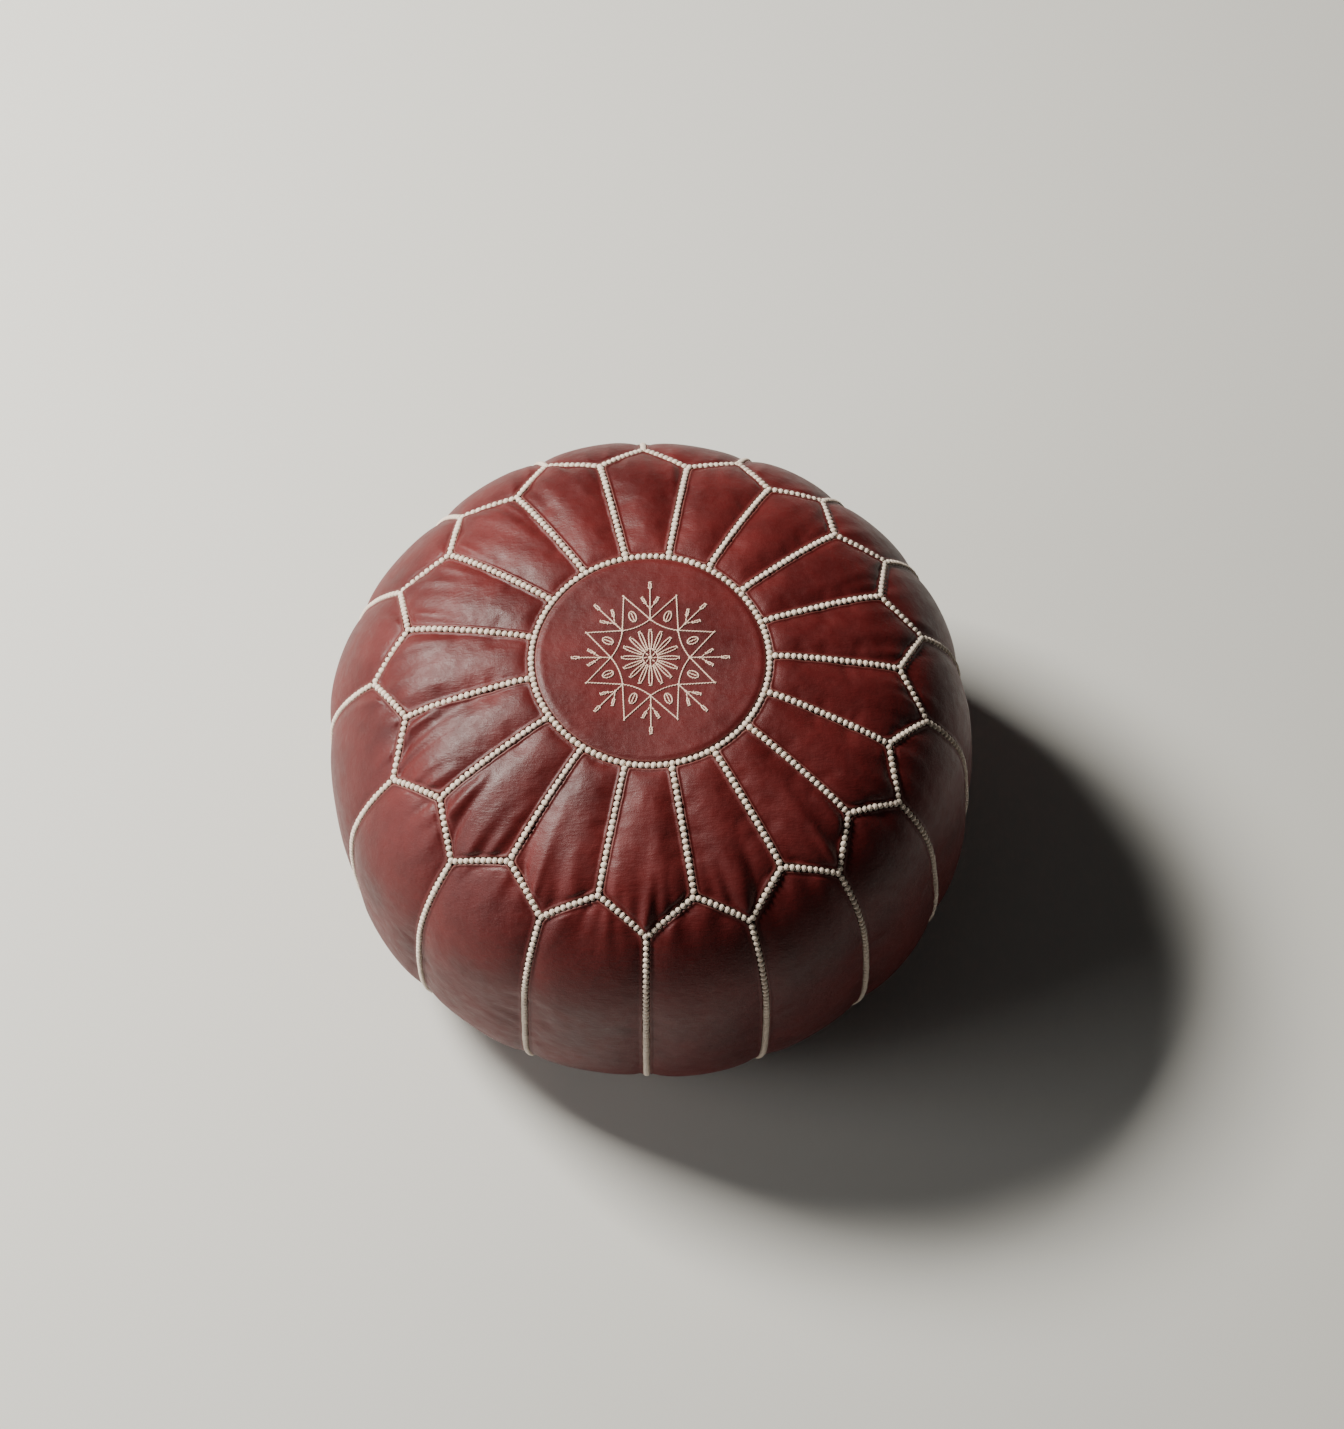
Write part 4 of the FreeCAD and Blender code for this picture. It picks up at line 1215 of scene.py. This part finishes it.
def thread_material(name, color, soil_and_shade_color, strands):
    """Cord or thread laid in strands across each stitch, with fluff, painted shade between the strands and
    slight soiling.
    """
    material, tree, shader = new_material(name, color, 0.62, Sheen_Weight=0.25, Sheen_Roughness=0.5)
    place = add_node(tree, "ShaderNodeUVMap", uv_map="UVMap")
    axes = add_node(tree, "ShaderNodeSeparateXYZ", {0: place.outputs[0]})
    twist = weighted_sum(tree, (axes.outputs["X"], strands * 2 * pi), (axes.outputs["Y"], 5.0))
    strand = math_node(tree, "ABSOLUTE", math_node(tree, "SINE", twist))
    soil = map_range(tree, noise(tree, object_place(tree), 45, 4)[0], 0.45, 0.8, 0.0, 0.35)
    # Painted shade: darker in the grooves between the strands.
    shade = mix_colors(tree, map_range(tree, strand, 0.0, 0.5, 0.55, 0.0), color, soil_and_shade_color)
    tree.links.new(mix_colors(tree, soil, shade, soil_and_shade_color), shader.inputs["Base Color"])
    bump(tree, shader, strand, 0.00018, 0.9)
    return material


seam_cord = thread_material("cream_cord", cream, cream_soil_and_shade, 5)
fine_thread = thread_material("cream_thread", fine_cream, fine_soil_and_shade, 3)
print("threads:", seam_cord.name, "and", fine_thread.name)

# %% [markdown]
# ## Cloth, resin and brass
# The bag is unbleached calico, the filling is cotton wadding, and the zip has woven tapes,
# moulded resin teeth and antique brass fittings. The cloths share one weave with different
# thread counts; resin is mottled and dull, and brass is brushed and browned.

# %% Cloth, resin and brass materials
def cloth_material(name, color, weave_shade_color, threads, depth):
    material, tree, shader = new_material(name, color, 0.85, Sheen_Weight=0.15)
    weave = add_node(tree, "ShaderNodeGroup", node_tree=weave_group)
    weave.inputs["Threads"].default_value = threads
    height = weave.outputs["Height"]
    # Darker in the low points of the weave: painted shade between the yarns.
    woven = mix_colors(tree, map_range(tree, height, -0.5, 0.5), weave_shade_color, color)
    tree.links.new(woven, shader.inputs["Base Color"])
    bump(tree, shader, height, depth)
    return material


calico = cloth_material("unbleached_calico", (0.55, 0.49, 0.40), (0.42, 0.36, 0.28), 1100, 0.0001)
wadding = cloth_material("cotton_wadding", (0.62, 0.58, 0.50), (0.50, 0.46, 0.38), 90, 0.0008)
zip_cloth = cloth_material("zip_tape_cloth", (0.060, 0.010, 0.010), (0.028, 0.005, 0.005), 1700, 0.00008)
resin_color, brass_color, brass_brown = (0.075, 0.013, 0.012), (0.50, 0.34, 0.14), (0.13, 0.08, 0.04)


def moulded_material():
    """Moulded resin: slightly mottled, with the dull skin of a mould."""
    material, tree, shader = new_material("zip_resin", resin_color, 0.45)
    speck = noise(tree, object_place(tree), 900)[0]
    tree.links.new(map_range(tree, speck, 0.3, 0.7, 0.36, 0.55), shader.inputs["Roughness"])
    mottled = mix_colors(tree, speck, shaded(resin_color, 0.7), shaded(resin_color, 1.25))
    tree.links.new(mottled, shader.inputs["Base Color"])
    bump(tree, shader, speck, 0.00004)
    return material


def brass_material():
    """Antique brass: brushed along the zip, browned where fingers don't reach."""
    material, tree, shader = new_material("antique_brass", brass_color, 0.35, Metallic=1.0)
    brushed = noise(tree, stretched_place(tree, Scale=(60, 2500, 2500)), 1.0)[0]
    stain = map_range(tree, noise(tree, object_place(tree), 420, 4)[0], 0.42, 0.7, 0.0, 0.7)
    tree.links.new(mix_colors(tree, stain, brass_color, brass_brown), shader.inputs["Base Color"])
    tree.links.new(map_range(tree, brushed, 0.3, 0.7, 0.26, 0.48), shader.inputs["Roughness"])
    bump(tree, shader, brushed, 0.00003)
    return material


zip_resin, brass = moulded_material(), brass_material()
print("materials:", [m.name for m in (calico, wadding, zip_cloth, zip_resin, brass)])

# %% [markdown]
# ## Putting it together
# Each piece gets its material, the body that it moves with, and the solids of the frame that
# it stands for. Everything here moves with the pouf.

# %% Leather, bag and filling in place
def finish_piece(piece, material, slot, *nodes, body=BODY):
    """Material, body and the solids of the frame that a piece stands for, if any; slot is not used."""
    piece.data.materials.clear()
    piece.data.materials.append(material)
    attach(piece, body)
    if nodes:
        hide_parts(*nodes)


for i in range(panel_count):
    finish_piece(petals[i], leather_dyed, "leather", f"top_petal_{i + 1:02d}")
    finish_piece(sides[i], leather_dyed, "leather", f"side_panel_{i + 1:02d}")
finish_piece(medallion, leather_dyed, "leather", "top_medallion")
finish_piece(base_back, leather_dyed, "leather", "base_panel_back")
finish_piece(base_front, leather_dyed, "leather", "base_panel_front")
finish_piece(bag, calico, "bag_cloth", "inner_bag")
finish_piece(filling, wadding, "filling", "filling")
print("leather pieces:", len(petals + sides) + 3)

# %% [markdown]
# ## Sewing
# The cord's seams use the tree's own sizes. The star's stitches are finer and slant, the
# machine stitches along the zip are finer still, and the butt seams past the zip's ends lie
# straight across the join.

# %% Sewing
stitch_pieces = {
    "medallion_stitches": ("medallion_ring_stitching", 11),
    "petal_stitches": ("petal_seam_stitching", 12),
    "zigzag_stitches": ("zigzag_stitching", 13),
    "side_stitches": ("side_seam_stitching", 14),
    "base_stitches": ("base_ring_stitching", 15),
}
for name, (node, seed) in stitch_pieces.items():
    finish_piece(sew(name, seams[name], seam_cord, seed), seam_cord, "seam_thread", node)

fine = {"Pitch": 0.0024, "Along": 0.0034, "Across": 0.0012, "Height": 0.0011, "Slant": 0.18, "Uneven": 0.07}
star = sew("star_embroidery", figures, fine_thread, 21, **fine)
finish_piece(star, fine_thread, "embroidery_thread", "medallion_embroidery")

machine = {"Pitch": 0.0030, "Along": 0.0027, "Across": 0.0007, "Height": 0.0005, "Uneven": 0.04}
zip_rows = sew("zip_edge_stitches", zip_row_paths, fine_thread, 31, **machine)
finish_piece(zip_rows, fine_thread, "seam_thread")
butt = {"Pitch": 0.0030, "Along": 0.0010, "Across": 0.0040, "Height": 0.0008, "Slant": 0.3}
butt_seams = sew("base_seam_stitches", butt_paths, fine_thread, 32, **butt)
finish_piece(butt_seams, fine_thread, "seam_thread", "base_seam_stitching")

# %% [markdown]
# ## Zip
# The tapes stay the frame's own solids. Teeth, stops and pull tab are the frame's shapes with
# their edges rounded, as moulding and tumbling leave them. The slider is two cast plates with
# a mouth between them that is open from end to end, so it can pass along the closed chain.

# %% Rounded edges
def soften(piece, width, segments=2):
    """Rounds a piece's sharp edges."""
    shape = bmesh.new()
    shape.from_mesh(piece.data)
    bmesh.ops.remove_doubles(shape, verts=shape.verts, dist=1e-6)
    bmesh.ops.dissolve_limit(shape, angle_limit=radians(2), verts=shape.verts, edges=shape.edges)
    shape.to_mesh(piece.data)
    shape.free()
    edge = piece.modifiers.new("rounded", "BEVEL")
    edge.width, edge.segments = width, segments
    edge.limit_method, edge.angle_limit = "ANGLE", radians(40)
    plain_mesh(piece)
    return piece


def rounded_copy(node, width, segments=2):
    """A solid of the frame as a piece of its own, with rounded edges."""
    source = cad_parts[node]
    mesh = source.data.copy()
    mesh.transform(source.matrix_world)
    piece = bpy.data.objects.new(node + "_rounded", mesh)
    bpy.context.scene.collection.objects.link(piece)
    return soften(piece, width, segments)


# %% Slider
slider_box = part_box("zip_slider")
plate, mouth, flange, flange_long = 0.0012, 0.0030, 0.0010, 0.7
flange_in, flange_out, flange_back_gap = 0.00355, 0.0042, 0.0003
bridge_start, bridge_end, bridge_half, bridge_thick = 0.0025, 0.0095, 0.0010, 0.0009
nose_long = 0.88
plate_outline = [(0, 0.86), (0.5, 0.90), (0.7, 1.0), (nose_long, 1.0), (1.0, 0.72), (1.0, 0.34)]


def prism(outline, low, high):
    """Vertices and faces of an outline, anticlockwise from above, raised from low to high."""
    count = len(outline)
    vertices = [(x, y, z) for z in (low, high) for x, y in outline]
    faces = [list(range(count))[::-1], list(range(count, 2 * count))]
    faces += [[k, (k + 1) % count, count + (k + 1) % count, count + k] for k in range(count)]
    return vertices, faces


def make_slider():
    """Two notched plates, flanges that guide the teeth, and a bridge for the tab below."""
    (back, _, bridge_low), (front, half, top) = slider_box
    length = front - back
    lower = [(back + x * length, -y * half) for x, y in plate_outline]
    plan = lower + [(back + nose_long * length, 0)] + [(x, -y) for x, y in reversed(lower)]
    roof = top - plate
    ground = roof - mouth

    def bar(start, end, y_low, y_high, low, high):
        return prism([(start, y_low), (end, y_low), (end, y_high), (start, y_high)], low, high)

    solids = [prism(plan, ground - plate, ground), prism(plan, roof, top)]
    for low, high in ((ground, ground + flange), (roof - flange, roof)):
        for y_low, y_high in ((flange_in, flange_out), (-flange_out, -flange_in)):
            ends = (back + flange_back_gap, back + flange_long * length)
            solids.append(bar(*ends, y_low, y_high, low, high))
    for start in (bridge_start, bridge_end - plate):
        foot = back + start
        solids.append(bar(foot, foot + plate, -bridge_half, bridge_half, bridge_low, ground - plate))
    span = (back + bridge_start + plate, back + bridge_end - plate)
    solids.append(bar(*span, -bridge_half, bridge_half, bridge_low, bridge_low + bridge_thick))
    vertices, faces = [], []
    for points, sides in solids:
        faces += [[k + len(vertices) for k in face] for face in sides]
        vertices += points
    return mesh_object("slider_body", vertices, faces)


# %% Zip
tooth_round, tab_round, metal_round = 0.00015, 0.00018, 0.0002

for side in ("back", "front"):
    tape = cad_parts[f"zip_tape_{side}"]
    tape.data.materials.clear()
    tape.data.materials.append(zip_cloth)
    node = f"zip_teeth_{side}"
    teeth = rounded_copy(node, tooth_round, 1)
    finish_piece(teeth, zip_resin, "zip_teeth", node)
for node in ("zip_top_stops", "zip_end_stop"):
    finish_piece(rounded_copy(node, metal_round), brass, "zip_metal", node)
tab = rounded_copy("zip_pull_tab", tab_round)
finish_piece(tab, brass, "zip_metal", "zip_pull_tab", body="zip_pull_tab")
slider = soften(make_slider(), metal_round)
finish_piece(slider, brass, "zip_metal", "zip_slider", body="zip_slider")
print("faces: row of teeth", len(teeth.data.polygons), "tab", len(tab.data.polygons))

# %% [markdown]
# ## Room and light
# A plain pale floor, a fifth of a millimetre under the pouf so that the two never coincide.
# A panel a metre wide, high on the left and behind, gives the satin highlights, a dimmer
# card low on the left lights the rim, and next to nothing comes from the right, so the far
# side falls away into shadow.

# %% Floor
floor_half, floor_height = 8.0, -0.0002
floor_color, floor_dark, floor_pale = (0.70, 0.70, 0.665), (0.68, 0.68, 0.645), (0.73, 0.73, 0.695)


def floor_material():
    material, tree, shader = new_material("pale_floor", floor_color, 0.75)
    cloud = noise(tree, object_place(tree), 1.2)[0]
    tree.links.new(mix_colors(tree, cloud, floor_dark, floor_pale), shader.inputs["Base Color"])
    return material


signs = ((-1, -1), (1, -1), (1, 1), (-1, 1))
corners = [(x * floor_half, y * floor_half, floor_height) for x, y in signs]
floor = mesh_object("floor", corners, [(0, 1, 2, 3)])
floor.data.materials.append(floor_material())
print("floor is", 2 * floor_half, "m square")


# %% Lights
def light(name, place, size, power, color=(1, 1, 1)):
    """A soft panel that faces the pouf."""
    lamp = bpy.data.objects.new(name, bpy.data.lights.new(name, "AREA"))
    bpy.context.scene.collection.objects.link(lamp)
    lamp.data.shape = "RECTANGLE"
    lamp.data.size, lamp.data.size_y = size
    lamp.data.energy, lamp.data.color = power, color
    lamp.location = place
    lamp.rotation_euler = (middle - lamp.location).to_track_quat("-Z", "Y").to_euler()
    return lamp


light("key", (-2.0, 1.15, 2.5), (1.0, 0.8), 245, (1.0, 0.96, 0.89))
light("left_card", (-2.6, -0.7, 1.0), (1.4, 1.4), 30, (1.0, 0.98, 0.95))

world = bpy.data.worlds.new("studio")
bpy.context.scene.world = world
world.use_nodes = True
background = world.node_tree.nodes["Background"]
background.inputs["Color"].default_value = (1.0, 0.98, 0.95, 1)
background.inputs["Strength"].default_value = 0.03
print("lights:", [lamp.name for lamp in bpy.data.lights])
